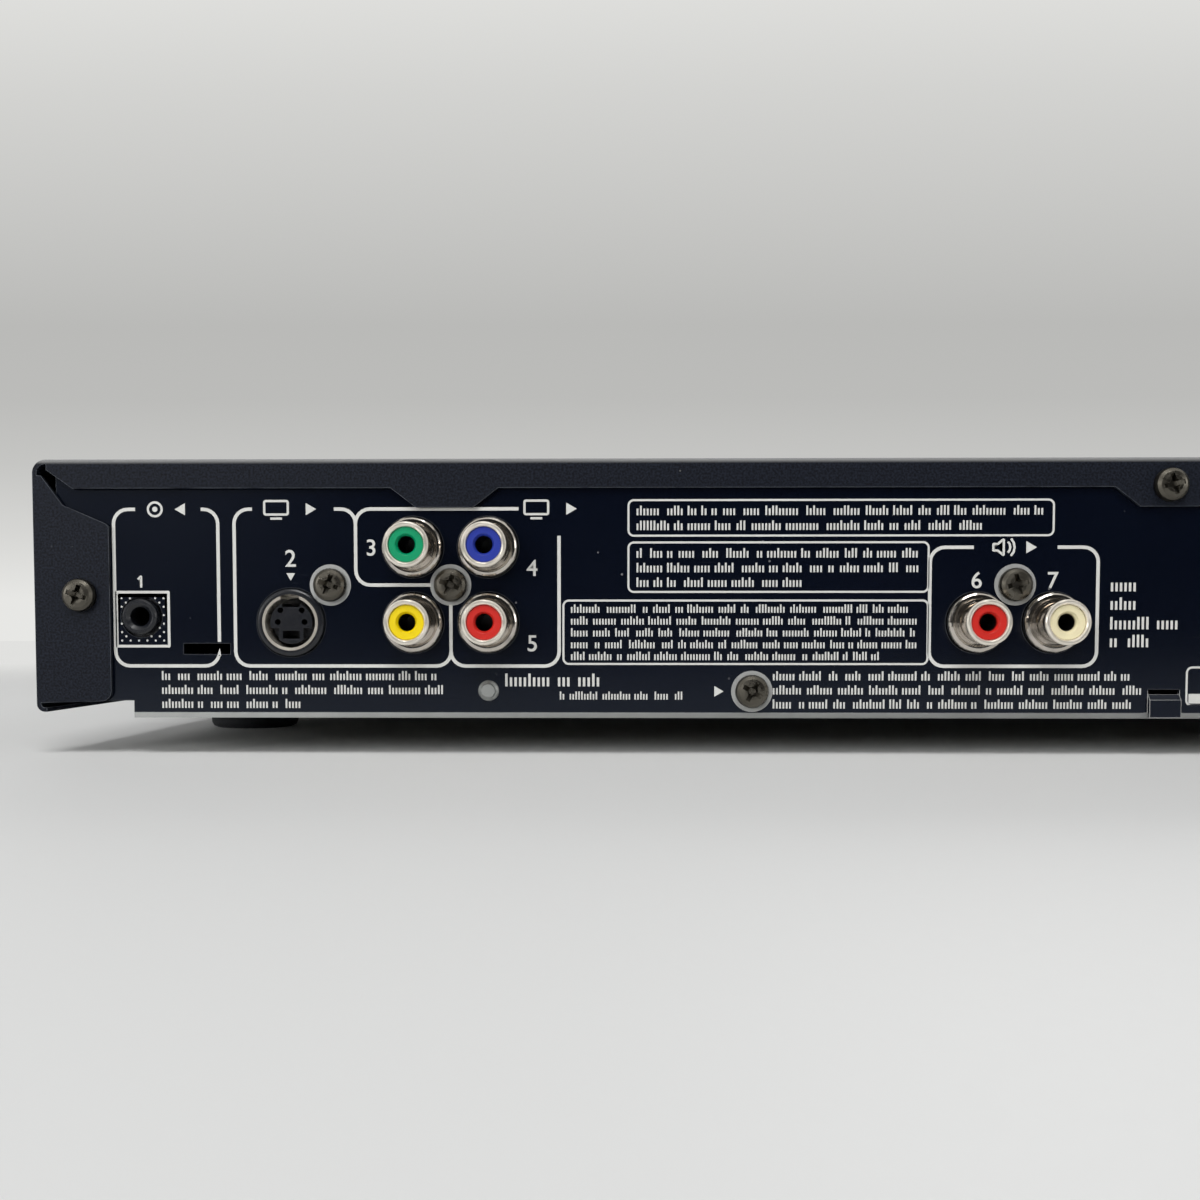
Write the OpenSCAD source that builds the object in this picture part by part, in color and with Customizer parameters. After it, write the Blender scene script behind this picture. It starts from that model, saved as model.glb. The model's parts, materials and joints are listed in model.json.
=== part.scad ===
// Slim disc player with a motorised tray: folded steel case, moulded front,
// rear socket panel, and the loading and playing mechanism inside.
// Front is -Y, rear is +Y, the origin is on the ground under the middle.

/* [Case] */
// Width of the case
body_w = 420; // [400:1:440]
// Depth from the faces of the front buttons to the rims of the rear sockets
depth = 278; // [272:1:310]
// Height of the case without its feet
body_h = 48; // [48:0.5:60]
// Height of the feet
foot_h = 7; // [6:0.5:12]
// Diameter of a foot
foot_d = 21.5; // [18:0.5:28]
// Distance of a foot's centre from the side of the case
foot_inset = 20.2; // [18:0.1:30]
// Distance of the rear feet's centres from the rear panel
rear_foot_inset = 68.1; // [60:0.1:100]
// Distance of the front feet's centres from the back of the front panel
front_foot_inset = 34; // [20:0.5:60]

/* [Sheet metal] */
// Thickness of the cover sheet
cover_t = 0.8; // [0.6:0.1:1.2]
// Thickness of the base sheet
base_t = 1.0; // [0.8:0.1:1.2]
// Thickness of the rear panel sheet
panel_t = 0.8; // [0.6:0.1:1.0]
// Outer radius of the cover's long bends
cover_bend_r = 2.5; // [1.5:0.1:4]
// Width of the cover's flange down each side of the rear panel
side_flange_w = 14.1; // [12:0.1:16]
// Height of the cover's flange along the top of the rear panel
top_flange_h = 5.3; // [4:0.1:6]
// Height of the screw tabs on the top flange
tab_h = 8.9; // [7.5:0.1:10]
// Width of a screw tab at its lower edge
tab_w = 10.6; // [8:0.1:14]
// Height of the base's side walls
base_wall_h = 12; // [8:0.5:16]
// Width of a ventilation slot in the base
vent_w = 3; // [2:0.5:4]
// Length of a ventilation slot in the base
vent_l = 34; // [20:1:40]
// Number of ventilation slots in each group
vent_n = 8; // [4:1:10]

/* [Front panel] */
// Depth of the moulded front panel
front_d = 12; // [11:0.5:16]
// Wall of the front panel
front_t = 2.5; // [2:0.1:3.5]
// Radius along the top and bottom edges of the front panel
front_edge_r = 2.2; // [1:0.1:3]
// Width of the display window
window_w = 124; // [100:1:136]
// Height of the display window
window_h = 12; // [9:0.5:13]
// How far the buttons stand out of the front panel
button_proud = 1.5; // [1.2:0.1:2.5]
// Travel of a button
button_travel = 0.8; // [0.5:0.1:1]
// Width of a small button
key_w = 15; // [12:0.5:17]
// Height of a small button
key_h = 5.5; // [4.5:0.5:6.5]
// Radius of the play button
play_r = 8; // [6:0.5:9]
// Radius of the power button
power_r = 6.5; // [5:0.5:8]

/* [Tray and loader] */
// Diameter of the disc
disc_d = 120; // [120:0.5:121]
// Diameter of the small disc
small_disc_d = 80; // [80:0.5:81]
// Travel of the tray
tray_travel = 132; // [128:1:134]
// Thickness of the tray's front piece
door_t = 3.5; // [3:0.1:4]
// Height of the tray's front piece
door_h = 18; // [17.5:0.1:18.5]
// Width of the tray's rim beside the disc well
rim_w = 5.5; // [5:0.1:6.5]
// Height of the tray's rim over its underside
tray_h = 8; // [7:0.1:8.4]
// Half width of the slot that the turntable and the pickup stand in
tray_slot_r = 17.5; // [17:0.1:19]
// Height of the tray's underside over the base
tray_lift = 26; // [25.5:0.1:27]
// Wall of the loader frame
frame_t = 4; // [3:0.1:5]
// Angle that the playing deck tilts down by
deck_drop = 5.2; // [4.8:0.1:5.3]
// Travel of the cam slider
cam_travel = 30; // [26:1:32]

/* [Gears] */
// Module of the rack and its pinion
rack_module = 1; // [0.9:0.05:1.1]
// Teeth of the rack pinion
rack_pinion_teeth = 14; // [13:1:15]
// Module of the reduction gears
gear_module = 0.8; // [0.7:0.05:0.8]
// Teeth of the large reduction wheel
wheel_teeth = 40; // [36:1:40]
// Teeth of the small pinion on the pulley gear
pinion_teeth = 14; // [13:1:16]
// Radius of the pulley gear's belt pulley
pulley_r = 10; // [8:0.5:10]
// Radius of the motor's belt pulley
motor_pulley_r = 3; // [2.5:0.1:4]
// Thickness of the belt
belt_d = 1.2; // [1:0.1:1.5]

/* [Playing deck] */
// Radius of the turntable
turntable_r = 13.5; // [12:0.1:14]
// Radius of the centring cone
cone_r = 7.4; // [7.3:0.05:7.5]
// Radius of the clamper
clamper_r = 15; // [14:0.1:15.5]
// Radius of the guide rods
rod_r = 1.5; // [1.2:0.1:1.6]
// Travel of the pickup
pickup_travel = 35; // [30:1:36]
// Distance of the lens from the spindle with the pickup fully in
lens_start = 24; // [23:0.5:25]
// Radius of the objective lens
lens_r = 2.4; // [2:0.1:2.8]
// Running clearance of shafts and bushes
run_gap = 0.05; // [0.03:0.01:0.08]
// Gap round parts that slide past each other
slide_gap = 0.3; // [0.25:0.05:0.4]

/* [Rear sockets] */
// How far the phono sockets stand out of the rear panel
jack_reach = 8.3; // [7.5:0.1:9]
// Distance between phono sockets
jack_pitch = 14; // [13:0.1:15]
// Height of the lower row of phono sockets over the case's underside
jack_row_h = 17.8; // [16.5:0.1:19]
// Distance of the video socket block from the side of the case
video_inset = 77.7; // [74:0.1:80]
// Distance of the audio socket block from the middle of the case
audio_x = 27.7; // [24:0.1:34]
// Distance of the round four-pin video socket from the side of the case
svideo_inset = 47.8; // [46:0.1:49]
// Distance of the control socket from the side of the case
control_inset = 19.7; // [18.5:0.1:20.5]
// Distance of the digital output from the middle of the case
digital_inset = 62; // [40:1:80]
// Distance of the mains inlet from the side of the case
inlet_inset = 38; // [36:0.5:50]
// Outer radius of a phono socket's sleeve
sleeve_r = 4.15; // [4:0.05:4.3]
// Radius of the hole in a phono socket's insert
phono_hole_r = 1.6; // [1.4:0.05:1.8]
// Radius of the hole in the control socket
control_hole_r = 1.8; // [1.75:0.05:1.9]
// Radius of a screw head
screw_head_r = 3.1; // [2.8:0.1:3.4]
// Height of a screw head
screw_head_h = 2; // [1.6:0.1:2.4]
// Radius of a screw's shank
screw_r = 1.4; // [1.2:0.1:1.5]

/* [Boards] */
// Thickness of the circuit boards
board_t = 1.6; // [1.2:0.1:2]
// Height of the boards over the base
board_lift = 6; // [5:0.5:7]

/* [Hidden] */
$fn = 40;

// Tiny distance by which a cut runs past the face it opens
eps = 0.2;
// Gap between parts that rest against each other
seat = 0.1;

// Case
side_x = body_w / 2;
rear_y = depth / 2 - jack_reach;
front_y = -depth / 2 + button_proud;
front_back_y = front_y + front_d;
under_z = foot_h;
floor_z = under_z + base_t;
top_z = foot_h + body_h;
roof_z = top_z - cover_t;
panel_in_y = rear_y - panel_t;
flange_y = rear_y + seat;
// Bare rear edge of the base, and the corners that are set back beside it
edge_x = side_x - 18;
corner_lift = 2.2;
foot_x = side_x - foot_inset;
foot_y_rear = rear_y - rear_foot_inset;
foot_y_front = front_back_y + front_foot_inset;
// The base steps up at its rear corners, and the cover's sides curl in under its walls
corner_y = rear_y - 52;
panel_side_x = side_x - 4;
panel_return = 11;
hem_r = 1.5;
hem_w = 1.9;

// Front panel
door_w = 148;
door_gap = 0.5;
mid_z = floor_z + 23;
window_z = under_z + 11.4;
key_z_high = mid_z + 5.5;
key_z_low = mid_z - 5.5;
play_x = side_x - 25;
stop_x = side_x - 52;
skip_x = side_x - 78;
open_x = (door_w / 2 + skip_x - key_w / 2) / 2;
power_x = -side_x + 26;
standby_x = power_x + 18;
button_gap = 0.3;
stem_r = 2;
front_board_y = front_back_y - 1 - board_t;

// Tray
disc_r = disc_d / 2 + 0.5;
small_disc_r = small_disc_d / 2 + 0.5;
tray_x = disc_r + rim_w;
tray_z = floor_z + tray_lift;
floor_t = 1.6;
well_step = 1.6;
well_z = tray_z + floor_t + well_step;
disc_y = front_y + door_t + 4.5 + disc_r;
tray_front_y = front_y + door_t;
tray_rear_y = front_back_y + tray_travel + 21.5;
rim_rear_y = disc_y + disc_r + 3.5;
arm_w = 26;
arm_h = 4;
runner_w = 3.6;
runner_z = tray_z + 2.3;
runner_t = 1.8;
rack_drop = 4.2;
door_z = tray_z - 5;

// Loader frame
frame_x = tray_x + runner_w + slide_gap + frame_t;
frame_front_y = front_back_y + slide_gap;
frame_rear_y = tray_rear_y + 34;
frame_z = floor_z + 4;
frame_top_z = tray_z + tray_h + 2.4;
ledge_t = 1.4;
gear_plate_z = floor_z + 13;
gear_plate_t = 1.5;
gear_plate_y = frame_front_y + 20.7;
lug_r = 5;
lug_x = frame_x + 4;
lug_y = [frame_front_y + 12, frame_rear_y - 12];

// Gear train
rack_x = -tray_x + 7;
rack_r = rack_module * rack_pinion_teeth / 2;
wheel_r = gear_module * wheel_teeth / 2;
pinion_r = gear_module * pinion_teeth / 2;
gear_gap = 0.1;
backlash = 0.25;
drive_x = rack_x + rack_r + gear_gap;
drive_y = frame_front_y + wheel_r + 1.2;
train_a = -15;
train_d = wheel_r + pinion_r + gear_gap;
pulley_x = drive_x + train_d * cos(train_a);
pulley_y = drive_y + train_d * sin(train_a);
motor_can_r = 9.4;
motor_x = pulley_x + 30;
motor_y = frame_front_y + motor_can_r + 0.2;
motor_h = 11.6;
cross_wall_t = 1.2;
pulley_z = gear_plate_z + gear_plate_t + 0.5;
pulley_t = 3;
wheel_z = pulley_z + pulley_t + 0.4;
wheel_t = 3;
rack_pinion_z = wheel_z + wheel_t;
rack_pinion_t = tray_z - 0.4 - rack_pinion_z;
axle_r = 1.25;
motor_shaft_r = 1;

// Playing deck, which tilts about a pivot at its rear
pivot_y = disc_y + 88;
pivot_z = floor_z + 15;
cradle_z = pivot_z - 3;
cradle_t = 5.5;
plate_z = cradle_z + cradle_t + 2;
plate_t = 1.2;
plate_top = plate_z + plate_t;
cradle_x = 50;
cradle_in_x = 42;
cradle_front_y = disc_y - 28;
cradle_rear_y = pivot_y + 7;
deck_front_y = disc_y - 17;
deck_rear_y = pivot_y - 5;
pivot_r = 2;
cam_pin_r = 1.5;
cam_pin_x = [0, 34];
cam_y = gear_plate_y + slide_gap;
cam_pin_y = cam_y + 0.2;
cam_t = 2;
cam_slot_r = cam_pin_r + slide_gap;
cam_drop = (pivot_y - cam_y - cam_t / 2) * sin(deck_drop);
cam_z = floor_z + 0.8;
cam_top = pivot_z + 3.6;
disc_z = well_z + 2;
cone_h = 2.2;
rotor_r = 11.5;
spindle_r = 1;
rod_z = plate_top + 2.3;
rod_x = [25, -27];
rod_y0 = disc_y + 9;
rod_y1 = rod_y0 + 70;
lens_y = disc_y + lens_start;
lens_top = disc_z - 1.4;
screw_line_x = 33;
screw_line_z = floor_z + 12.5;
thread_r = 1.5;
sled_motor_r = 6;
sled_motor_y = rod_y1 - 14;
window_x = [-23, 21];
window_y = [lens_y - 11.5, lens_y + pickup_travel + 16];
damper_x = (cradle_x + cradle_in_x) / 2;
damper_y = [deck_front_y + 6, deck_rear_y - 8];
damper_r = 3.6;
damper_peg_r = 1;

// Clamper
bridge_z = frame_top_z;
bridge_t = 1;
clamper_z = disc_z + 1.8;
clamper_neck_r = 10;
clamper_cap_r = 13.5;

// Rear sockets
video_x = side_x - video_inset;
svideo_x = side_x - svideo_inset;
control_x = side_x - control_inset;
digital_x = -digital_inset;
inlet_x = -side_x + inlet_inset;
jack_z = under_z + jack_row_h;
upper_jack_z = jack_z + jack_pitch;
socket_y = panel_in_y - 0.2;
block_d = 14;
sleeve_base_r = 5.6;
sleeve_in_r = 3.2;
insert_r = sleeve_in_r - run_gap;
jack_hole_r = sleeve_base_r + 0.15;
svideo_r = 6.35;
svideo_shell_r = 5.2;
svideo_shell_t = 0.5;
control_barrel_r = 3.3;
control_hole_panel_r = 3.9;
control_z = under_z + 18.9;
inlet_w = 33;
inlet_h = 13;
inlet_in_w = 16.2;
inlet_in_h = 8.4;
inlet_z = under_z + 17;
inlet_pin_r = 1.2;
inlet_pin_pitch = 8.66;
inlet_recess = 10;
slot_hole = [8.8, 2];
slot_hole_xz = [control_x - 12.2, under_z + 12.9];
stud_xz = [video_x - jack_pitch / 2, under_z + 5.1];
stud_hole_r = 1.95;
hook_w = 5.8;
hook_t = 0.9;
low_screw_z = under_z + 5;
// How far round each screw ends when it is tight
panel_screw_turns = [72, 70, 12, 40, 10, 65, 60, 30];
cover_screw_turns = [52, 72, 14];
between_z = (jack_z + upper_jack_z) / 2;
video_jacks = [[video_x + jack_pitch / 2, upper_jack_z], [video_x - jack_pitch / 2, upper_jack_z],
    [video_x + jack_pitch / 2, jack_z], [video_x - jack_pitch / 2, jack_z]];
audio_jacks = [[audio_x + jack_pitch / 2, jack_z], [audio_x - jack_pitch / 2, jack_z]];
digital_jack = [digital_x, jack_z];
// Screws that hold socket blocks, then those that hold the base's lugs
svideo_ear = 7.4;
inlet_screw_x = inlet_w / 2 - 3.4;
digital_screw_z = jack_z + sleeve_base_r + screw_head_r + 1.3;
block_screws = [[svideo_x - svideo_ear, between_z], [video_x, between_z], [audio_x, between_z],
    [digital_x, digital_screw_z], [inlet_x - inlet_screw_x, inlet_z], [inlet_x + inlet_screw_x, inlet_z]];
lug_screws = [[video_x - 56.1, low_screw_z], [-side_x + 100, low_screw_z]];
side_screw_z = under_z + 22.9;
top_screw_z = top_z - 5;
side_screw_x = side_x - 8.6;
tab_x = [video_x + 1, 0, -video_x - 1];

// Boards
board_z = floor_z + board_lift;
board_top = board_z + board_t;
board_rear_y = panel_in_y - base_t - 0.4;
main_x0 = 8;
main_x1 = side_x - 6;
main_split_x = frame_x + 14;
main_split_y = frame_rear_y + 6;
power_x0 = -side_x + 6;
power_x1 = -frame_x - 14;
board_front_y = front_back_y + 62;
board_l = board_rear_y - board_front_y;
room_h = roof_z - board_top;
chip_t = 1.4;
heatsink_y = board_front_y + 0.48 * board_l;

module rounded(w, h, r) {
    square([w - 2 * r, h], center = true);
    square([w, h - 2 * r], center = true);
    for (x = [-1, 1], y = [-1, 1])
        translate([x * (w / 2 - r), y * (h / 2 - r)]) circle(r = r);
}

module tube(r_out, r_in, h) {
    difference() {
        cylinder(r = r_out, h = h);
        translate([0, 0, -eps]) cylinder(r = r_in, h = h + 2 * eps);
    }
}

// Places children on the rear panel's face, with their +Z pointing out of it
module on_rear(x, z, y = rear_y) {
    translate([x, y, z]) rotate([-90, 0, 0]) children();
}

// Places children on the front panel's face, with their +Z pointing out of it
module on_front(x, z, y = front_y) {
    translate([x, y, z]) rotate([90, 0, 0]) children();
}

// A pan-head screw with a cross recess, its head's seat at z = 0
module pan_screw(l, head_r = screw_head_r, head_h = screw_head_h, r = screw_r) {
    slot_w = head_r * 0.28;
    reach = head_r * 0.62;
    difference() {
        union() {
            rotate_extrude()
                polygon([[0, 0], [head_r, 0], [head_r, 0.35 * head_h], [0.93 * head_r, 0.66 * head_h],
                    [0.76 * head_r, 0.9 * head_h], [0.5 * head_r, head_h], [0, head_h]]);
            translate([0, 0, -l]) cylinder(r = r, h = l);
        }
        // Cross recess whose arms slope down to a tapered middle
        translate([0, 0, 0.15 * head_h]) cylinder(r1 = 0.2 * reach, r2 = 0.55 * reach, h = 0.85 * head_h + eps);
        for (a = [0, 90])
            rotate([0, 0, a]) rotate([90, 0, 0]) translate([0, 0, -slot_w / 2]) linear_extrude(slot_w)
                polygon([[-reach, head_h + eps], [-reach, 0.8 * head_h], [-0.3 * reach, 0.15 * head_h],
                    [0.3 * reach, 0.15 * head_h], [reach, 0.8 * head_h], [reach, head_h + eps]]);
    }
}

// Involute gear outline with a tooth centred on the X axis
function inv(a) = tan(a) * 180 / PI - a;
function flank(m, n, r) =
    let (rp = m * n / 2, rb = rp * cos(20), half = (PI * m / 2 - backlash) / (2 * rp) * 180 / PI)
    half + inv(20) - inv(acos(min(1, rb / max(r, rb))));
module gear_2d(m, n) {
    rp = m * n / 2;
    rb = rp * cos(20);
    root = rp - 1.2 * m;
    tip = rp + 0.85 * m;
    steps = [max(root, rb), (max(root, rb) + tip) / 2, tip];
    polygon([for (i = [0:n - 1]) let (a = 360 * i / n) each [
        root * [cos(a - flank(m, n, root)), sin(a - flank(m, n, root))],
        for (r = steps) r * [cos(a - flank(m, n, r)), sin(a - flank(m, n, r))],
        for (j = [2:-1:0]) steps[j] * [cos(a + flank(m, n, steps[j])), sin(a + flank(m, n, steps[j]))],
        root * [cos(a + flank(m, n, root)), sin(a + flank(m, n, root))]]]);
}

// Rack outline: teeth point to +X from the pitch line, a gap is centred on y = 0
module rack_2d(m, y0, y1, back) {
    pitch = PI * m;
    add = 0.85 * m;
    ded = 1.2 * m;
    half = (pitch / 2 - backlash) / 2;
    first = ceil(y0 / pitch - 0.5);
    last = floor(y1 / pitch - 0.5);
    polygon([[-back, y0], [-ded, y0],
        for (i = [first:last]) let (c = (i + 0.5) * pitch) each [
            [-ded, c - half - ded * tan(20)], [add, c - half + add * tan(20)],
            [add, c + half - add * tan(20)], [-ded, c + half + ded * tan(20)]],
        [-ded, y1], [-back, y1]]);
}

// A straight slot between two points
module slot_2d(p, q, r) {
    d = q - p;
    for (c = [p, q]) translate(c) circle(r = r);
    translate(p) rotate(atan2(d[1], d[0])) translate([0, -r]) square([norm(d), 2 * r]);
}

// ---------------------------------------------------------------- case

// Arc of points, from angle a to angle b
function arc(c, r, a, b, n = 6) = [for (i = [0:n]) let (t = a + (b - a) * i / n) c + r * [cos(t), sin(t)]];

cover_low_z = under_z + 1.1;

// Lower edge of a side of the cover, curled inwards
module hem_2d() {
    c = [side_x - hem_r, cover_low_z + hem_r];
    polygon([[side_x, c[1]], each arc(c, hem_r, 0, -90), [side_x - hem_w, cover_low_z],
        [side_x - hem_w, cover_low_z + cover_t], each arc(c, hem_r - cover_t, -90, 0), [side_x - cover_t, c[1]]]);
}

module cover_outline(inset) {
    r = cover_bend_r - inset;
    x = side_x - inset;
    low = cover_low_z + hem_r;
    translate([-x, low - inset]) square([2 * x, top_z - cover_bend_r - low + inset]);
    translate([-x + r, low]) square([2 * (x - r), top_z - inset - low]);
    for (s = [-1, 1]) translate([s * (x - r), top_z - inset - r]) circle(r = r);
}

module side_flange_2d() {
    r = 2;
    low = under_z + 3.1;
    polygon([[side_x, low - 0.3], each arc([side_x - side_flange_w + r, low + r], r, -90, -180),
        [side_x - side_flange_w, top_z - 12.4], [side_x - side_flange_w + 0.6, top_z - 11.8],
        [side_x - 5.6, top_z - 8.4], [side_x - 1.6, top_z - 2.9], [side_x, top_z - 2.9]]);
}

module top_flange_2d() {
    z = top_z - top_flange_h;
    end = side_x - 2.6;
    polygon([[-end, top_z], [-end, top_z - 1.9], [-end + 4.8, z], [end - 4.8, z], [end, top_z - 1.9], [end, top_z]]);
    slope = tab_h - top_flange_h;
    for (x = tab_x)
        polygon([[x - tab_w / 2 - slope * 1.3, z + eps], [x - tab_w / 2 - slope * 1.3, z],
            [x - tab_w / 2, top_z - tab_h], [x + tab_w / 2, top_z - tab_h],
            [x + tab_w / 2 + slope * 1.3, z], [x + tab_w / 2 + slope * 1.3, z + eps]]);
}

module top_cover() {
    y0 = front_back_y + slide_gap;
    y1 = flange_y + cover_t;
    color("#2c3138") difference() {
        union() {
            translate([0, y1, 0]) rotate([90, 0, 0]) linear_extrude(y1 - y0) {
                difference() {
                    cover_outline(0);
                    cover_outline(cover_t);
                }
                hem_2d();
                mirror([1, 0]) hem_2d();
            }
            translate([0, y1, 0]) rotate([90, 0, 0]) linear_extrude(cover_t) intersection() {
                cover_outline(0);
                union() {
                    top_flange_2d();
                    side_flange_2d();
                    mirror([1, 0]) side_flange_2d();
                }
            }
        }
        for (x = [-side_screw_x, side_screw_x])
            on_rear(x, side_screw_z, flange_y - 1) cylinder(r = screw_r + 0.2, h = cover_t + 2);
        on_rear(0, top_screw_z, flange_y - 1) cylinder(r = screw_r + 0.2, h = cover_t + 2);
    }
}

module cover_screws() {
    color("#5d5548") {
        for (i = [0, 1])
            on_rear([-1, 1][i] * side_screw_x, side_screw_z, flange_y + cover_t)
                rotate([0, 0, cover_screw_turns[i]]) pan_screw(7);
        on_rear(0, top_screw_z, flange_y + cover_t) rotate([0, 0, cover_screw_turns[2]]) pan_screw(7);
    }
}

base_x = side_x - hem_w - slide_gap;
post_r = 4;
corner_post_x = edge_x - 6;
rear_post_y = board_rear_y - 30;
front_post_y = board_front_y + 8;
board_posts = [[main_x0 + 7, rear_post_y], [corner_post_x, rear_post_y], [main_split_x + 7, front_post_y],
    [main_x1 - 7, front_post_y], [power_x0 + 7, front_post_y], [power_x1 - 7, front_post_y],
    [-corner_post_x, rear_post_y], [power_x1 - 7, rear_post_y]];
pilot_r = screw_r - 0.2;
low_lugs = [[lug_screws[0][0], low_screw_z], [lug_screws[1][0], low_screw_z], stud_xz];

module base_chassis() {
    y0 = front_back_y + seat;
    shelf_z = floor_z + corner_lift;
    return_y = rear_y - panel_return - slide_gap;
    return_x = panel_side_x - panel_t - slide_gap;
    color("#a9abaa") {
        difference() {
            union() {
                translate([-base_x, y0, under_z]) cube([2 * base_x, corner_y - y0, base_t]);
                translate([-edge_x, y0, under_z]) cube([2 * edge_x, rear_y - y0, base_t]);
                for (s = [-1, 1]) {
                    translate([s * (base_x - base_t / 2) - base_t / 2, y0 + 2, under_z])
                        cube([base_t, corner_y - y0 - 2, base_t + base_wall_h]);
                    translate([s * (base_x - base_t / 2) - base_t / 2, corner_y - 2, shelf_z])
                        cube([base_t, return_y - corner_y + 2, floor_z + base_wall_h - shelf_z]);
                    // Raised shelf over a rear corner, and the riser beside it
                    translate([0, 0, shelf_z]) linear_extrude(base_t)
                        polygon([for (p = [[edge_x - base_t, corner_y - base_t], [base_x, corner_y - base_t],
                            [base_x, return_y], [return_x, return_y], [return_x, panel_in_y - 1],
                            [edge_x - base_t, panel_in_y - 1]]) [s * p[0], p[1]]]);
                    translate([s * (edge_x - base_t / 2) - base_t / 2, corner_y - base_t, under_z])
                        cube([base_t, panel_in_y - 1 - corner_y + base_t, shelf_z - under_z + base_t]);
                    translate([s * (edge_x + base_x) / 2 - (base_x - edge_x) / 2, corner_y - base_t, under_z])
                        cube([base_x - edge_x, base_t, shelf_z - under_z + base_t]);
                }
                for (s = [-1, 1])
                    translate([s * (base_x - 52) - 50, y0, under_z]) cube([100, base_t, base_t + 8]);
                for (x = [-lug_x, lug_x], y = lug_y)
                    translate([x, y, floor_z]) cylinder(r = post_r, h = frame_z - floor_z);
                for (p = board_posts)
                    translate([p[0], p[1], floor_z]) cylinder(r = post_r - 1, h = board_lift);
                for (p = low_lugs)
                    translate([p[0] - 5, panel_in_y - base_t - 0.05, under_z])
                        cube([10, base_t, board_top - 0.6 - under_z]);
                // Stiffening beads pressed up out of the floor
                for (s = [-1, 1], dx = [38, 76])
                    translate([s * (frame_x + dx), board_front_y + 110, floor_z]) rotate([90, 0, 0])
                        linear_extrude(124) polygon([[-2.4, 0], [-1.2, 1], [1.2, 1], [2.4, 0]]);
            }
            for (x = [-lug_x, lug_x], y = lug_y)
                translate([x, y, under_z - eps]) cylinder(r = pilot_r, h = 10);
            for (p = board_posts)
                translate([p[0], p[1], under_z - eps]) cylinder(r = pilot_r, h = 10);
            for (p = lug_screws)
                on_rear(p[0], p[1], panel_in_y - 4) cylinder(r = screw_r + 0.05, h = 6);
            // Ventilation slots in two groups under the boards
            for (s = [-1, 1], i = [0:vent_n - 1])
                translate([s * (side_x - 62) + (i - (vent_n - 1) / 2) * 2.4 * vent_w, board_front_y + 34, under_z - eps])
                    linear_extrude(base_t + 2 * eps)
                        slot_2d([0, -vent_l / 2 + vent_w / 2], [0, vent_l / 2 - vent_w / 2], vent_w / 2);
        }
        // Locating stud that stands through the rear panel
        on_rear(stud_xz[0], stud_xz[1], panel_in_y - 0.05) rotate_extrude()
            polygon([[0, 0], [stud_hole_r - 0.05, 0], [stud_hole_r - 0.05, panel_t + 0.2],
                [stud_hole_r - 0.6, panel_t + 0.7], [stud_hole_r - 0.7, panel_t + 1.2], [0, panel_t + 1.2]]);
    }
}

module feet() {
    r = foot_d / 2;
    color("#15171a")
        for (x = [-foot_x, foot_x], y = [foot_y_front, foot_y_rear])
            translate([x, y, 0]) rotate_extrude()
                polygon([[0, 0], [r - 1.8, 0], [r - 1, 0.4], [r - 0.6, 1.2], [r - 0.2, foot_h - 1.4], [r, foot_h - 0.6],
                    [r, foot_h], [0, foot_h]]);
}

module rear_panel() {
    x1 = panel_side_x;
    z1 = roof_z - 0.4;
    hook_z = floor_z + 2.5;
    color("#14171d") difference() {
        union() {
            translate([0, rear_y, 0]) rotate([90, 0, 0]) linear_extrude(panel_t)
                polygon([[-x1, z1], [-x1, floor_z + corner_lift], [-edge_x, floor_z + corner_lift], [-edge_x, floor_z],
                    [edge_x, floor_z], [edge_x, floor_z + corner_lift], [x1, floor_z + corner_lift], [x1, z1]]);
            for (s = [-1, 1])
                translate([s * (x1 - panel_t / 2) - panel_t / 2, rear_y - panel_return, floor_z + corner_lift])
                    cube([panel_t, panel_return, z1 - floor_z - corner_lift]);
            translate([-x1, rear_y - 7, z1 - panel_t]) cube([2 * x1, 7, panel_t]);
            // Lanced tongue in the middle of the lower edge, which hooks over the edge of the base
            translate([-hook_w / 2, 0, 0]) rotate([90, 0, 90]) linear_extrude(hook_w)
                polygon([[rear_y - eps, floor_z], [rear_y + seat, floor_z], [rear_y + seat, under_z + 0.2],
                    [rear_y + hook_t, under_z + 0.2], [rear_y + hook_t, hook_z], [rear_y, hook_z + 1],
                    [rear_y - eps, hook_z + 1]]);
        }
        translate([-hook_w / 2, panel_in_y - 1, hook_z + 1]) cube([hook_w, panel_t + 3, 0.9]);
        for (p = video_jacks)
            on_rear(p[0], p[1], panel_in_y - 1) cylinder(r = jack_hole_r, h = 3);
        for (p = audio_jacks)
            on_rear(p[0], p[1], panel_in_y - 1) cylinder(r = jack_hole_r, h = 3);
        on_rear(digital_jack[0], digital_jack[1], panel_in_y - 1) cylinder(r = jack_hole_r, h = 3);
        on_rear(svideo_x, jack_z, panel_in_y - 1) cylinder(r = svideo_r + 0.15, h = 3);
        on_rear(control_x, control_z, panel_in_y - 1) cylinder(r = control_hole_panel_r, h = 3);
        on_rear(stud_xz[0], stud_xz[1], panel_in_y - 1) cylinder(r = stud_hole_r, h = 3);
        on_rear(slot_hole_xz[0], slot_hole_xz[1], panel_in_y - 1)
            linear_extrude(3) square(slot_hole, center = true);
        on_rear(inlet_x, inlet_z, panel_in_y - 1)
            linear_extrude(3) rounded(inlet_in_w + 3.4, inlet_in_h + 2.4, 2.2);
        for (p = concat(block_screws, lug_screws))
            on_rear(p[0], p[1], panel_in_y - 1) cylinder(r = screw_r + 0.15, h = 3);
        for (x = [-side_screw_x, side_screw_x])
            on_rear(x, side_screw_z, panel_in_y - 1) cylinder(r = screw_r + 0.05, h = 3);
        on_rear(0, top_screw_z, panel_in_y - 1) cylinder(r = screw_r + 0.05, h = 3);
    }
}

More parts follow.
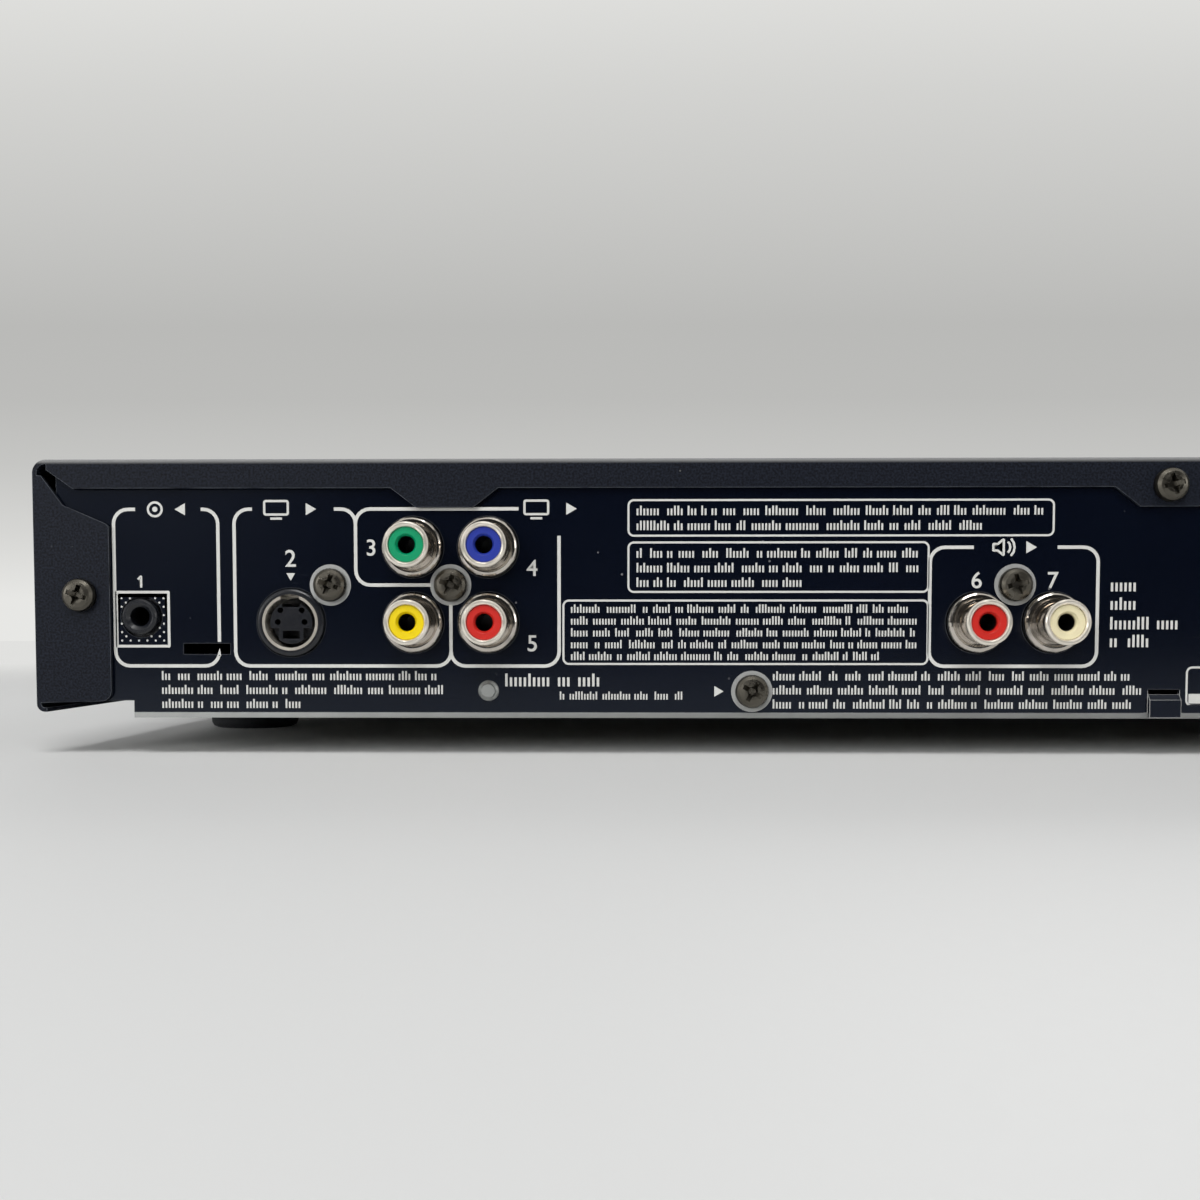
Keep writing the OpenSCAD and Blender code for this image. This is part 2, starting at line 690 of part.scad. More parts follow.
module panel_screws() {
    places = concat(block_screws, lug_screws);
    color("#6b6357")
        for (i = [0:len(places) - 1])
            on_rear(places[i][0], places[i][1]) rotate([0, 0, panel_screw_turns[i]]) pan_screw(8);
}

// ---------------------------------------------------------------- front

module front_profile() {
    r = front_edge_r;
    y1 = front_back_y;
    polygon([[y1, under_z], each arc([front_y + 2.6 + r, under_z + r], r, -90, -150),
        [front_y, under_z + 5], each arc([front_y + r, top_z - r], r, 180, 90), [y1, top_z]]);
}

module key_hole(x, z, w, h, r) {
    on_front(x, z, front_y + front_t + 1)
        linear_extrude(front_t + 3) rounded(w + 2 * button_gap, h + 2 * button_gap, r + button_gap);
}

module front_panel() {
    groove_z = door_z - 1.6;
    color("#24272b") difference() {
        translate([-side_x, 0, 0]) rotate([90, 0, 90]) linear_extrude(body_w) front_profile();
        translate([-side_x + front_t, front_y + front_t, under_z + front_t])
            cube([body_w - 2 * front_t, front_d, body_h - 2 * front_t]);
        translate([-door_w / 2 - door_gap, front_y - 1, door_z - door_gap])
            cube([door_w + 2 * door_gap, front_t + 2, door_h + 2 * door_gap]);
        // Fine groove that runs across the whole face
        translate([-side_x - 1, front_y, groove_z]) rotate([45, 0, 0]) translate([0, -0.5, -0.5])
            cube([body_w + 2, 1, 1]);
        on_front(0, window_z, front_y + front_t + 1) linear_extrude(front_t + 3)
            rounded(window_w + 0.2, window_h + 0.2, 2.1);
        key_hole(open_x, key_z_high, key_w, key_h, 1.5);
        key_hole(skip_x, key_z_high, key_w, key_h, 1.5);
        key_hole(skip_x, key_z_low, key_w, key_h, 1.5);
        key_hole(stop_x, key_z_high, key_w, key_h, 1.5);
        key_hole(stop_x, key_z_low, key_w, key_h, 1.5);
        on_front(play_x, mid_z, front_y + front_t + 1) cylinder(r = play_r + button_gap, h = front_t + 3);
        on_front(power_x, mid_z, front_y + front_t + 1) cylinder(r = power_r + button_gap, h = front_t + 3);
        on_front(standby_x, mid_z, front_y + front_t + 1) cylinder(r = 1.6, h = front_t + 3);
    }
}

module display_window() {
    color("#0c1014") {
        on_front(0, window_z, front_y + front_t) linear_extrude(front_t) rounded(window_w, window_h, 2);
        on_front(0, window_z, front_y + front_t + 1.2)
            linear_extrude(1.2) rounded(window_w + 3, window_h + 2, 2);
    }
}

module standby_lens() {
    color("#b01818") on_front(standby_x, mid_z, front_y + front_t + 2) cylinder(r = 1.5, h = front_t + 2.3);
}

// The way a button's collar sits behind the wall, and the stem that meets its switch
collar_y = front_y + front_t + 0.15;
collar_t = 1.25;
switch_face_y = front_board_y - 4.3;
stem_y = switch_face_y - button_travel - 0.15;

module button_stem(x, z) {
    on_front(x, z, stem_y) cylinder(r = stem_r, h = stem_y - collar_y - collar_t / 2);
}

module key(x, z, w, h) {
    cap_h = collar_y - front_y + button_proud;
    color("#33373c") {
        on_front(x, z, collar_y) linear_extrude(cap_h - 0.5) rounded(w, h, 1.5);
        on_front(x, z, collar_y) linear_extrude(cap_h) rounded(w - 0.9, h - 0.9, 1.2);
        on_front(x, z, collar_y + collar_t) linear_extrude(collar_t) rounded(w + 1.6, h + 1.6, 1.6);
        button_stem(x, z);
    }
}

module round_key(x, z, r) {
    proud = front_y - button_proud;
    color("#3c4046") {
        on_front(x, z, collar_y) rotate_extrude()
            polygon([[0, 0], [r, 0], [r, collar_y - proud - 0.5], [r - 0.5, collar_y - proud],
                [r - 1.2, collar_y - proud], [r - 2.2, collar_y - proud - 0.4], [0, collar_y - proud - 0.6]]);
        on_front(x, z, collar_y + collar_t) cylinder(r = r + 0.8, h = collar_t);
        button_stem(x, z);
    }
}

module power_button() { round_key(power_x, mid_z, power_r); }
module open_close_button() { key(open_x, key_z_high, key_w, key_h); }
module play_button() { round_key(play_x, mid_z, play_r); }
module pause_button() { key(stop_x, key_z_high, key_w, key_h); }
module stop_button() { key(stop_x, key_z_low, key_w, key_h); }
module skip_back_button() { key(skip_x, key_z_high, key_w, key_h); }
module skip_forward_button() { key(skip_x, key_z_low, key_w, key_h); }

// ---------------------------------------------------------------- tray

module tray() {
    y0 = tray_front_y;
    color("#1b1d20") {
        difference() {
            union() {
                translate([-tray_x, y0, tray_z]) cube([2 * tray_x, rim_rear_y - y0, tray_h]);
                for (s = [-1, 1])
                    translate([s * (tray_x - arm_w / 2) - arm_w / 2, rim_rear_y - eps, tray_z])
                        cube([arm_w, tray_rear_y - rim_rear_y + eps, arm_h]);
                for (s = [-1, 1])
                    translate([s * (tray_x + runner_w / 2) - runner_w / 2 - s * eps, y0 + 2, runner_z])
                        cube([runner_w, tray_rear_y - y0 - 2, runner_t]);
            }
            translate([0, disc_y, well_z]) cylinder(r = disc_r, h = tray_h, $fn = 72);
            translate([0, disc_y, well_z]) cylinder(r1 = disc_r, r2 = disc_r + 3, h = tray_h - well_z + tray_z + eps, $fn = 72);
            translate([0, disc_y, tray_z + floor_t]) cylinder(r = small_disc_r, h = tray_h);
            translate([0, disc_y, tray_z - eps]) cylinder(r = tray_slot_r, h = tray_h);
            translate([-tray_slot_r, disc_y, tray_z - eps])
                cube([2 * tray_slot_r, tray_rear_y - disc_y + 1, tray_h + 2 * eps]);
            // Finger reliefs at the front corners of the well
            for (s = [-1, 1])
                translate([s * 46, disc_y - 42, well_z]) cylinder(r = 13, h = tray_h);
        }
        translate([rack_x, drive_y, tray_z - rack_drop]) linear_extrude(rack_drop + 0.5)
            rack_2d(rack_module, y0 + 4 - drive_y, tray_rear_y - 2 - drive_y, 6);
    }
}

module tray_front() {
    color("#26292d") difference() {
        union() {
            on_front(0, door_z + door_h / 2, front_y + door_t) linear_extrude(door_t - 0.4) rounded(door_w, door_h, 0.8);
            on_front(0, door_z + door_h / 2, front_y + door_t) linear_extrude(door_t) rounded(door_w - 0.8, door_h - 0.8, 0.6);
        }
        // Shadow line along the lower third of the front piece
        translate([-door_w / 2 - 1, front_y, door_z + 5]) rotate([45, 0, 0]) translate([0, -0.4, -0.4])
            cube([door_w + 2, 0.8, 0.8]);
    }
}

// ---------------------------------------------------------------- loader

module loader_frame() {
    in_x = frame_x - frame_t;
    ledge_w = runner_w - slide_gap;
    open_x1 = cradle_x + 0.6;
    open_y1 = cradle_rear_y + 3;
    plate_x1 = motor_x + motor_can_r + 8;
    color("#3a3d41") difference() {
        union() {
            for (s = [-1, 1]) {
                translate([s * (frame_x - frame_t / 2) - frame_t / 2, frame_front_y, frame_z])
                    cube([frame_t, frame_rear_y - frame_front_y, frame_top_z - frame_z]);
                // Ledges above and below the tray's runner
                for (z = [runner_z - slide_gap - ledge_t, runner_z + runner_t + slide_gap])
                    translate([s * (in_x - ledge_w / 2 + 0.1) - ledge_w / 2, frame_front_y, z])
                        cube([ledge_w, frame_rear_y - frame_front_y - 20, ledge_t]);
                for (y = lug_y) {
                    translate([s * lug_x, y, frame_z]) cylinder(r = lug_r, h = 2.4);
                    translate([s * (frame_x - 1) - 2, y - lug_r, frame_z]) cube([4, 2 * lug_r, 2.4]);
                }
                // Ears that carry the deck's pivots
                translate([s * (open_x1 + 2) - 2, pivot_y - 6, frame_z]) cube([4, 12, pivot_z + 5.5 - frame_z]);
                for (y = [disc_y - 12, disc_y + 12, pivot_y + 20])
                    translate([s * (frame_x + 0.8) - 0.8, y - 1, frame_z]) cube([1.6, 2, frame_top_z - frame_z - 4]);
            }
            translate([-frame_x, frame_front_y, frame_z]) cube([2 * frame_x, frame_rear_y - frame_front_y, 2]);
            translate([-frame_x, frame_rear_y - 3, frame_z]) cube([2 * frame_x, 3, tray_z - frame_z]);
            translate([-frame_x, frame_front_y, gear_plate_z])
                cube([frame_x + plate_x1, gear_plate_y - frame_front_y, gear_plate_t]);
            translate([-frame_x, gear_plate_y - cross_wall_t, frame_z])
                cube([2 * frame_x, cross_wall_t, gear_plate_z + gear_plate_t - frame_z]);
            for (p = [[drive_x, drive_y, rack_pinion_z + rack_pinion_t], [pulley_x, pulley_y, wheel_z + wheel_t + 0.8]])
                translate([p[0], p[1], gear_plate_z]) cylinder(r = axle_r, h = p[2] - gear_plate_z - 0.3);
        }
        translate([-open_x1, gear_plate_y, frame_z - eps])
            cube([2 * open_x1, open_y1 - gear_plate_y, 2 + 2 * eps]);
        // Room for the cam slider's travel
        translate([0, gear_plate_y, frame_z - eps])
            cube([in_x, cam_t + 2 * slide_gap, 2 + 2 * eps]);
        translate([-frame_x + frame_t, frame_front_y - eps, frame_z - eps])
            cube([2 * (frame_x - frame_t), gear_plate_y - cross_wall_t - frame_front_y, 2 + 2 * eps]);
        translate([0, pivot_y, pivot_z]) rotate([0, 90, 0])
            cylinder(r = pivot_r + run_gap, h = 2 * open_x1 + 20, center = true);
        translate([motor_x, motor_y, gear_plate_z - eps]) cylinder(r = 3.3, h = gear_plate_t + 2 * eps);
        for (x = [-lug_x, lug_x], y = lug_y)
            translate([x, y, frame_z - eps]) cylinder(r = screw_r + 0.15, h = 4);
        for (s = [-1, 1], y = [disc_y - 12, disc_y + 12])
            translate([s * (frame_x - frame_t / 2), y, frame_top_z - 9]) cylinder(r = pilot_r, h = 9 + eps);
        // Lightening windows in the side walls, below the runner
        for (y = [disc_y + 30, pivot_y - 22, pivot_y + 32])
            translate([-frame_x - 2, y - 9, frame_z + 5]) cube([2 * frame_x + 4, 14, 8]);
    }
}

module clamper_bridge() {
    w = 36;
    color("#9fa3a6") difference() {
        union() {
            translate([-frame_x, disc_y - w / 2, bridge_z]) cube([2 * frame_x, w, bridge_t]);
            for (s = [-1, 1])
                translate([-frame_x + 8, disc_y + s * (w / 2 - 0.5) - 0.5, bridge_z])
                    cube([2 * frame_x - 16, 1, bridge_t + 2.2]);
        }
        translate([0, disc_y, bridge_z - eps]) cylinder(r = clamper_neck_r + 0.6, h = bridge_t + 2 * eps);
        for (s = [-1, 1], y = [-12, 12])
            translate([s * (frame_x - frame_t / 2), disc_y + y, bridge_z - eps])
                cylinder(r = screw_r + 0.15, h = bridge_t + 2 * eps);
        for (s = [-1, 1])
            translate([s * 40, disc_y, bridge_z - eps]) linear_extrude(bridge_t + 2 * eps)
                slot_2d([-10, 0], [10, 0], 5);
    }
}

module clamper() {
    cap_z = bridge_z + bridge_t + slide_gap;
    color("#e4e4df") translate([0, disc_y, 0]) rotate_extrude()
        polygon([[0, clamper_z + 1.8], [cone_r + 0.8, clamper_z + 1.8], [cone_r + 0.8, clamper_z],
            [clamper_r, clamper_z], [clamper_r, clamper_z + 1.6], [clamper_neck_r, clamper_z + 2.2],
            [clamper_neck_r, cap_z], [clamper_cap_r, cap_z], [clamper_cap_r, cap_z + 0.9],
            [clamper_cap_r - 1, cap_z + 1.5], [4, cap_z + 1.5], [3, cap_z + 2.1], [0, cap_z + 2.1]]);
}

module loading_motor() {
    z0 = gear_plate_z - motor_h;
    color("#b3b5b6") translate([motor_x, motor_y, 0]) difference() {
        union() {
            translate([0, 0, z0]) cylinder(r = motor_can_r, h = motor_h);
            translate([0, 0, gear_plate_z - 0.1]) cylinder(r = 3, h = gear_plate_t + 0.2);
        }
        translate([0, 0, z0 + 3]) cylinder(r = motor_shaft_r + run_gap, h = motor_h + 2);
    }
}

module motor_pulley() {
    core = motor_pulley_r - belt_d;
    h = pulley_t;
    color("#c9a24a") translate([motor_x, motor_y, 0]) {
        translate([0, 0, pulley_z]) rotate_extrude()
            polygon([[0, 0], [motor_pulley_r, 0], [motor_pulley_r, 0.5], [core, 0.8], [core, h - 0.8],
                [motor_pulley_r, h - 0.5], [motor_pulley_r, h], [0, h]]);
        translate([0, 0, gear_plate_z - 6]) cylinder(r = motor_shaft_r, h = pulley_z + pulley_t + 0.6 - gear_plate_z + 6);
    }
}

// Outline of a belt's face round two pulleys, the second at [d, 0]
module belt_2d(r1, r2, d) {
    t = 90 - asin((r1 - r2) / d);
    polygon([each arc([0, 0], r1, t, 360 - t, 24), each arc([d, 0], r2, -t, t, 16)]);
}

module loading_belt() {
    d = norm([motor_x - pulley_x, motor_y - pulley_y]);
    r1 = pulley_r - belt_d + 0.1;
    r2 = motor_pulley_r - belt_d + 0.1;
    h = belt_d;
    color("#18191b") translate([pulley_x, pulley_y, pulley_z + (pulley_t - h) / 2])
        rotate([0, 0, atan2(motor_y - pulley_y, motor_x - pulley_x)]) linear_extrude(h) difference() {
            belt_2d(r1 + belt_d, r2 + belt_d, d);
            belt_2d(r1, r2, d);
        }
}

module pulley_gear() {
    core = pulley_r - belt_d;
    h = pulley_t;
    color("#e8e6df") translate([pulley_x, pulley_y, 0]) difference() {
        union() {
            translate([0, 0, pulley_z]) rotate_extrude()
                polygon([[0, 0], [pulley_r, 0], [pulley_r, 0.5], [core, 0.8], [core, h - 0.8],
                    [pulley_r, h - 0.5], [pulley_r, h], [0, h]]);
            translate([0, 0, pulley_z + pulley_t - eps]) rotate([0, 0, train_a + 180 + 180 / pinion_teeth])
                linear_extrude(wheel_z + wheel_t - pulley_z - pulley_t + 0.2 + eps)
                    gear_2d(gear_module, pinion_teeth);
        }
        translate([0, 0, pulley_z - eps]) cylinder(r = axle_r + run_gap, h = 10);
    }
}

module drive_gear() {
    hub_z = gear_plate_z + gear_plate_t + 0.3;
    color("#dedcd4") translate([drive_x, drive_y, 0]) difference() {
        union() {
            translate([0, 0, hub_z]) cylinder(r = 4, h = wheel_z - hub_z + eps);
            translate([0, 0, wheel_z]) rotate([0, 0, train_a]) linear_extrude(wheel_t)
                gear_2d(gear_module, wheel_teeth);
            translate([0, 0, rack_pinion_z - eps]) rotate([0, 0, 180]) linear_extrude(rack_pinion_t + eps)
                gear_2d(rack_module, rack_pinion_teeth);
        }
        translate([0, 0, hub_z - eps]) cylinder(r = axle_r + run_gap, h = tray_z - hub_z);
        // Web between the wheel's rim and its hub
        translate([0, 0, wheel_z - eps]) difference() {
            cylinder(r = wheel_r - 3, h = 1 + eps);
            translate([0, 0, -eps]) cylinder(r = rack_r + 1.5, h = 2 + eps);
        }
    }
}

module cam_slider() {
    x0 = cam_pin_x[0] - cam_travel - 4;
    x1 = cam_pin_x[1] + 4;
    color("#d8d6cf") translate([0, cam_y + cam_t, 0]) rotate([90, 0, 0]) linear_extrude(cam_t) difference() {
        polygon([[x0, cam_z], [x1, cam_z], [x1, cam_top], [cam_pin_x[0] - 4, cam_top],
            [x0, cam_top - cam_drop * cam_travel / (cam_travel + 4)]]);
        for (x = cam_pin_x)
            slot_2d([x, pivot_z], [x - cam_travel, pivot_z - cam_drop], cam_slot_r);
    }
}

// ---------------------------------------------------------------- playing deck

module deck_cradle() {
    in_y0 = cradle_front_y + 7;
    in_y1 = pivot_y - 5;
    color("#2f3236") difference() {
        union() {
            translate([-cradle_x, cradle_front_y, cradle_z])
                cube([2 * cradle_x, cradle_rear_y - cradle_front_y, cradle_t]);
            for (s = [-1, 1])
                translate([s * (cradle_x - eps), pivot_y, pivot_z]) rotate([0, s * 90, 0])
                    cylinder(r = pivot_r, h = 4.2 + eps);
            for (x = cam_pin_x)
                translate([x, cradle_front_y + eps, pivot_z]) rotate([90, 0, 0])
                    cylinder(r = cam_pin_r, h = cradle_front_y + eps - cam_pin_y);
            for (x = [-damper_x, damper_x], y = damper_y)
                translate([x, y, cradle_z]) cylinder(r = damper_peg_r, h = plate_top + 1.8 - cradle_z);
        }
        translate([-cradle_in_x, in_y0, cradle_z - eps])
            cube([2 * cradle_in_x, in_y1 - in_y0, cradle_t + 2 * eps]);
    }
}

rod_lug_w = 6;
rod_lug_l = 5;
module traverse_chassis() {
    color("#b9bbbb") difference() {
        union() {
            translate([-cradle_x + 1, deck_front_y, plate_z]) cube([2 * cradle_x - 2, deck_rear_y - deck_front_y, plate_t]);
            for (x = rod_x, y = [rod_y0, rod_y1 - rod_lug_l])
                translate([x - rod_lug_w / 2, y, plate_z]) cube([rod_lug_w, rod_lug_l, rod_z + 2 - plate_z]);
            translate([screw_line_x - 5, rod_y0, screw_line_z - 4]) cube([10, 2.4, plate_z - screw_line_z + 4.2]);
            translate([screw_line_x - 7, sled_motor_y - 1.2, screw_line_z - 6.2]) cube([14, 1.2, plate_z - screw_line_z + 6.4]);
        }
        translate([window_x[0], window_y[0], plate_z - eps])
            cube([window_x[1] - window_x[0], window_y[1] - window_y[0], plate_t + 2 * eps]);
        translate([0, disc_y, plate_z - eps]) cylinder(r = 3.7, h = plate_t + 2 * eps);
        for (x = [-damper_x, damper_x], y = damper_y)
            translate([x, y, plate_z - eps]) cylinder(r = 2, h = plate_t + 2 * eps);
        for (x = rod_x)
            translate([x, rod_y0 - eps, rod_z]) rotate([-90, 0, 0])
                cylinder(r = rod_r + 0.02, h = rod_y1 - rod_y0 + 2 * eps);
        translate([screw_line_x, rod_y0 - eps, screw_line_z]) rotate([-90, 0, 0]) cylinder(r = 0.9 + run_gap, h = 4);
        translate([screw_line_x, sled_motor_y - 2, screw_line_z]) rotate([-90, 0, 0]) cylinder(r = thread_r + 0.2, h = 3);
    }
}

module deck_dampers() {
    color("#202224")
        for (x = [-damper_x, damper_x], y = damper_y)
            translate([x, y, 0]) rotate_extrude()
                polygon([[damper_peg_r + 0.05, cradle_z + cradle_t], [damper_r, cradle_z + cradle_t], [damper_r, plate_z],
                    [1.95, plate_z], [1.95, plate_top], [damper_r - 0.5, plate_top], [damper_r - 0.9, plate_top + 1.2],
                    [damper_peg_r + 0.05, plate_top + 1.2]]);
}

module spindle_motor() {
    color("#8d9093") difference() {
        union() {
            translate([0, disc_y, plate_top]) cylinder(r = 13, h = 1);
            translate([-9, deck_front_y + 1, plate_top]) cube([18, 8, 1]);
            translate([0, disc_y, plate_z - 3]) cylinder(r = 3.5, h = plate_top + 6 - plate_z + 3);
            translate([0, disc_y, plate_top + 0.8]) tube(9.6, 3.4, 4);
        }
        translate([0, disc_y, plate_z - 2]) cylinder(r = spindle_r + run_gap, h = 12);
    }
}

module turntable() {
    cup_z = plate_top + 1.4;
    roof = plate_top + 6.3;
    color("#4a4d51") translate([0, disc_y, 0]) rotate_extrude()
        polygon([[0, plate_z - 1.8], [spindle_r, plate_z - 1.8], [spindle_r, roof], [rotor_r - 0.9, roof],
            [rotor_r - 0.9, cup_z], [rotor_r, cup_z], [rotor_r, roof + 1], [6, roof + 1], [6, disc_z - 1.6],
            [turntable_r, disc_z - 1.6], [turntable_r, disc_z], [cone_r, disc_z], [cone_r, disc_z + 0.8],
            [cone_r - 1.4, disc_z + cone_h], [0, disc_z + cone_h]]);
}

module guide_rods() {
    color("#cfd2d4")
        for (x = rod_x)
            translate([x, rod_y0, rod_z]) rotate([-90, 0, 0]) cylinder(r = rod_r, h = rod_y1 - rod_y0);
}

module pickup() {
    x0 = window_x[0] + 1.5;
    x1 = window_x[1] - 1.5;
    bush_z = plate_top + slide_gap;
    top = rod_z + 2;
    color("#3b3f45") difference() {
        union() {
            translate([x0, lens_y - 10, plate_z - 5]) cube([x1 - x0, 25, top - plate_z + 5]);
            translate([x1 - eps, lens_y - 8, bush_z]) cube([rod_x[0] + 3.5 - x1, 21, top - bush_z]);
            translate([rod_x[1] - 3, lens_y - 5, bush_z]) cube([x0 - rod_x[1] + 3 + eps, 12, top - bush_z]);
            // Arm that reaches down and across to the lead screw
            translate([x0 + 8, lens_y - 8, screw_line_z - 1.6]) cube([screw_line_x - x0 - 8 - 0.4, 8, 3.6]);
            translate([x0 + 8, lens_y - 8, screw_line_z - 1.6]) cube([x1 - x0 - 8, 8, plate_z - screw_line_z]);
            // Actuator base and its two magnet walls
            translate([-11, lens_y - 9, top - eps]) cube([22, 18, 1.2 + eps]);
            for (s = [-1, 1])
                translate([-7, lens_y + s * 8 - 0.8, top]) cube([14, 1.6, lens_top - top]);
        }
        translate([rod_x[0], lens_y - 20, rod_z]) rotate([-90, 0, 0]) cylinder(r = rod_r + run_gap, h = 60);
        translate([rod_x[1] - 4, lens_y - 10, rod_z - rod_r - run_gap]) cube([4 + rod_r, 30, 2 * (rod_r + run_gap)]);
        translate([screw_line_x, lens_y - 20, screw_line_z]) rotate([-90, 0, 0]) cylinder(r = thread_r + 0.15, h = 40);
        translate([0, lens_y, plate_z - 6]) cylinder(r = 3, h = 30);
        translate([x0 - 1, lens_y + 3, plate_z - 6]) cube([9, 20, 4]);
    }
}

module objective_lens() {
    z0 = rod_z + 2 + 1.2 + 0.8;
    color("#7d94ad") difference() {
        union() {
            translate([-5.5, lens_y - 6, z0]) cube([11, 12, 1.4]);
            translate([0, lens_y, z0 + 1.3]) rotate_extrude()
                polygon([[0, 0], [lens_r + 0.8, 0], [lens_r + 0.8, 0.5], [lens_r, 0.6], [lens_r * 0.7, 0.85], [0, 1]]);
        }
    }
}

module sled_motor() {
    color("#b3b5b6") translate([screw_line_x, sled_motor_y, screw_line_z]) rotate([-90, 0, 0]) difference() {
        union() {
            cylinder(r = sled_motor_r, h = 12);
            cylinder(r = 2.5, h = 13.2);
        }
        translate([0, 0, -eps]) cylinder(r = thread_r + 0.2, h = 3);
    }
}

module lead_screw() {
    color("#d5d8da") translate([screw_line_x, rod_y0 + 0.4, screw_line_z]) rotate([-90, 0, 0]) {
        cylinder(r = 0.9, h = 4);
        translate([0, 0, 2.4]) cylinder(r = thread_r, h = sled_motor_y - rod_y0 - 0.4 - 2.4 + 2);
    }
}

// ---------------------------------------------------------------- boards

module board_2d(points, holes) {
    difference() {
        polygon(points);
        for (p = holes) translate(p) circle(r = screw_r + 0.15);
    }
}

module main_board() {
    color("#1f5a3a") translate([0, 0, board_z]) linear_extrude(board_t)
        board_2d([[main_x0, main_split_y], [main_split_x, main_split_y], [main_split_x, board_front_y],
            [main_x1, board_front_y], [main_x1, board_rear_y], [main_x0, board_rear_y]],
            [for (i = [0:3]) board_posts[i]]);
}

// Flat packages as [x, y, size] and can capacitors as [x, y, radius, height], with x from the
// board's +X edge and y as a share of its length
chips = [[-54, 0.385, 28], [-86, 0.2, 16], [-32, 0.22, 12], [-84, 0.56, 18], [-36, 0.655, 14], [-144, 0.83, 12]];
cans = [[-22, 0.49, 4, 9], [-22, 0.55, 4, 9], [-100, 0.77, 3.2, 7], [-112, 0.83, 3.2, 7], [-54, 0.81, 4, 9],
    [-18, 0.1, 5, 11], [-134, 0.91, 3.2, 7], [-146, 0.91, 3.2, 7], [-100, 0.08, 4, 9]];
ribbon_x = 24;
ribbon_w = 18;
ribbon_t = 0.4;
plug_h = 5;
front_ribbon_x = main_split_x + 8;
front_ribbon_w = 12;
ribbon_rise = 8;
plug_d = 5;
front_plug_y = board_front_y + 20;
main_plug_y = main_split_y + 3;

module main_board_parts() {
    color("#222529") translate([0, 0, board_top]) {
        for (c = chips)
            translate([main_x1 + c[0] - c[2] / 2, board_front_y + c[1] * board_l - c[2] / 2, 0])
                cube([c[2], c[2], chip_t]);
        for (c = cans)
            translate([main_x1 + c[0], board_front_y + c[1] * board_l, 0]) rotate_extrude()
                polygon([[0, 0], [c[2], 0], [c[2], c[3] * 0.1], [c[2] - 0.3, c[3] * 0.16], [c[2], c[3] * 0.22],
                    [c[2], c[3] - 0.4], [c[2] - 0.5, c[3]], [0, c[3]]]);
        // Plugs of the flat cables
        translate([front_ribbon_x - 2, front_plug_y, 0]) cube([front_ribbon_w + 4, plug_d, plug_h]);
        translate([ribbon_x - 2, main_plug_y, 0]) cube([ribbon_w + 4, plug_d, plug_h]);
    }
}

module power_board() {
    cap = [power_x0 + 24, board_rear_y - 0.32 * board_l];
    cap_h = 0.7 * room_h;
    color("#8a6a3c") {
        translate([0, 0, board_z]) linear_extrude(board_t)
            board_2d([[power_x0, board_front_y], [power_x1, board_front_y], [power_x1, board_rear_y],
                [power_x0, board_rear_y]], [for (i = [4:7]) board_posts[i]]);
        translate([cap[0], cap[1], board_top]) rotate_extrude()
            polygon([[0, 0], [9, 0], [9, 2], [8.6, 2.6], [9, 3.2], [9, cap_h - 1], [8, cap_h], [0, cap_h]]);
        for (i = [0:2])
            translate([power_x1 - 14, board_front_y + 30 + 14 * i, board_top]) cylinder(r = 5, h = 0.45 * room_h);
        translate([power_x0 + 26, board_rear_y - 0.2 * board_l, board_top]) cube([16, 8, 0.4 * room_h]);
    }
}

module transformer() {
    x = (power_x0 + power_x1) / 2 + 6;
    h = 0.6 * room_h;
    w = 1.45 * h;
    d = 1.1 * h;
    leg = 6;
    bar = 5;
    r = w / 2 - leg - 0.1;
    coil_h = h - 2 * bar - 0.1;
    color("#7a5a2a") translate([x, heatsink_y - d / 2 - 2, board_top + 1]) {
        for (s = [-1, 1]) translate([s * (w - leg) / 2 - leg / 2, -d / 2, 0]) cube([leg, d, h]);
        for (z = [0, h - bar]) translate([-w / 2, -d / 2, z]) cube([w, d, bar]);
        // Winding between two end flanges
        translate([0, 0, bar + 0.05]) rotate_extrude()
            polygon([[0, 0], [r, 0], [r, 1], [r - 0.7, 1.4], [r - 0.7, coil_h - 1.4], [r, coil_h - 1], [r, coil_h],
                [0, coil_h]]);
        for (s = [-1, 1], i = [-2:2]) translate([s * 14, i * 4.4, -1]) cylinder(r = 0.5, h = 1);
    }
}

module heatsink() {
    h = 0.73 * room_h;
    fins = 8;
    pitch = 6;
    color("#a4a7a9") translate([power_x1 - 34, heatsink_y, board_top]) {
        cube([2, fins * pitch - 2, h]);
        for (i = [0:fins - 1]) translate([1.9, 1 + i * pitch, 2]) cube([9, 1.4, h - 2]);
        // Two power packages screwed to its flat side
        for (i = [0, 1]) translate([-4.5, 6 + i * 20, 5]) cube([4.5, 10, 15]);
    }
}

module tact_switch(x, z) {
    on_front(x, z, front_board_y) {
        translate([-3, -3, 0]) cube([6, 6, 3.5]);
        translate([0, 0, 3.4]) cylinder(r = 1.7, h = 0.9);
    }
}

module front_board() {
    x1 = side_x - 8;
    low = under_z + front_t + 1;
    high = top_z - front_t - 1;
    mid_x = door_w / 2 + 5;
    color("#2a6b45") {
        translate([0, front_board_y + board_t, 0]) rotate([90, 0, 0]) linear_extrude(board_t)
            polygon([[-x1, low], [x1, low], [x1, high], [mid_x, high], [mid_x, door_z - 2], [-mid_x, door_z - 2],
                [-mid_x, high], [-x1, high]]);
        for (p = [[power_x, mid_z], [play_x, mid_z], [open_x, key_z_high], [skip_x, key_z_high], [skip_x, key_z_low],
                [stop_x, key_z_high], [stop_x, key_z_low]])
            tact_switch(p[0], p[1]);
        on_front(standby_x, mid_z, front_board_y) cylinder(r = 1.5, h = front_board_y - front_y - front_t - 2.1);
    }
}

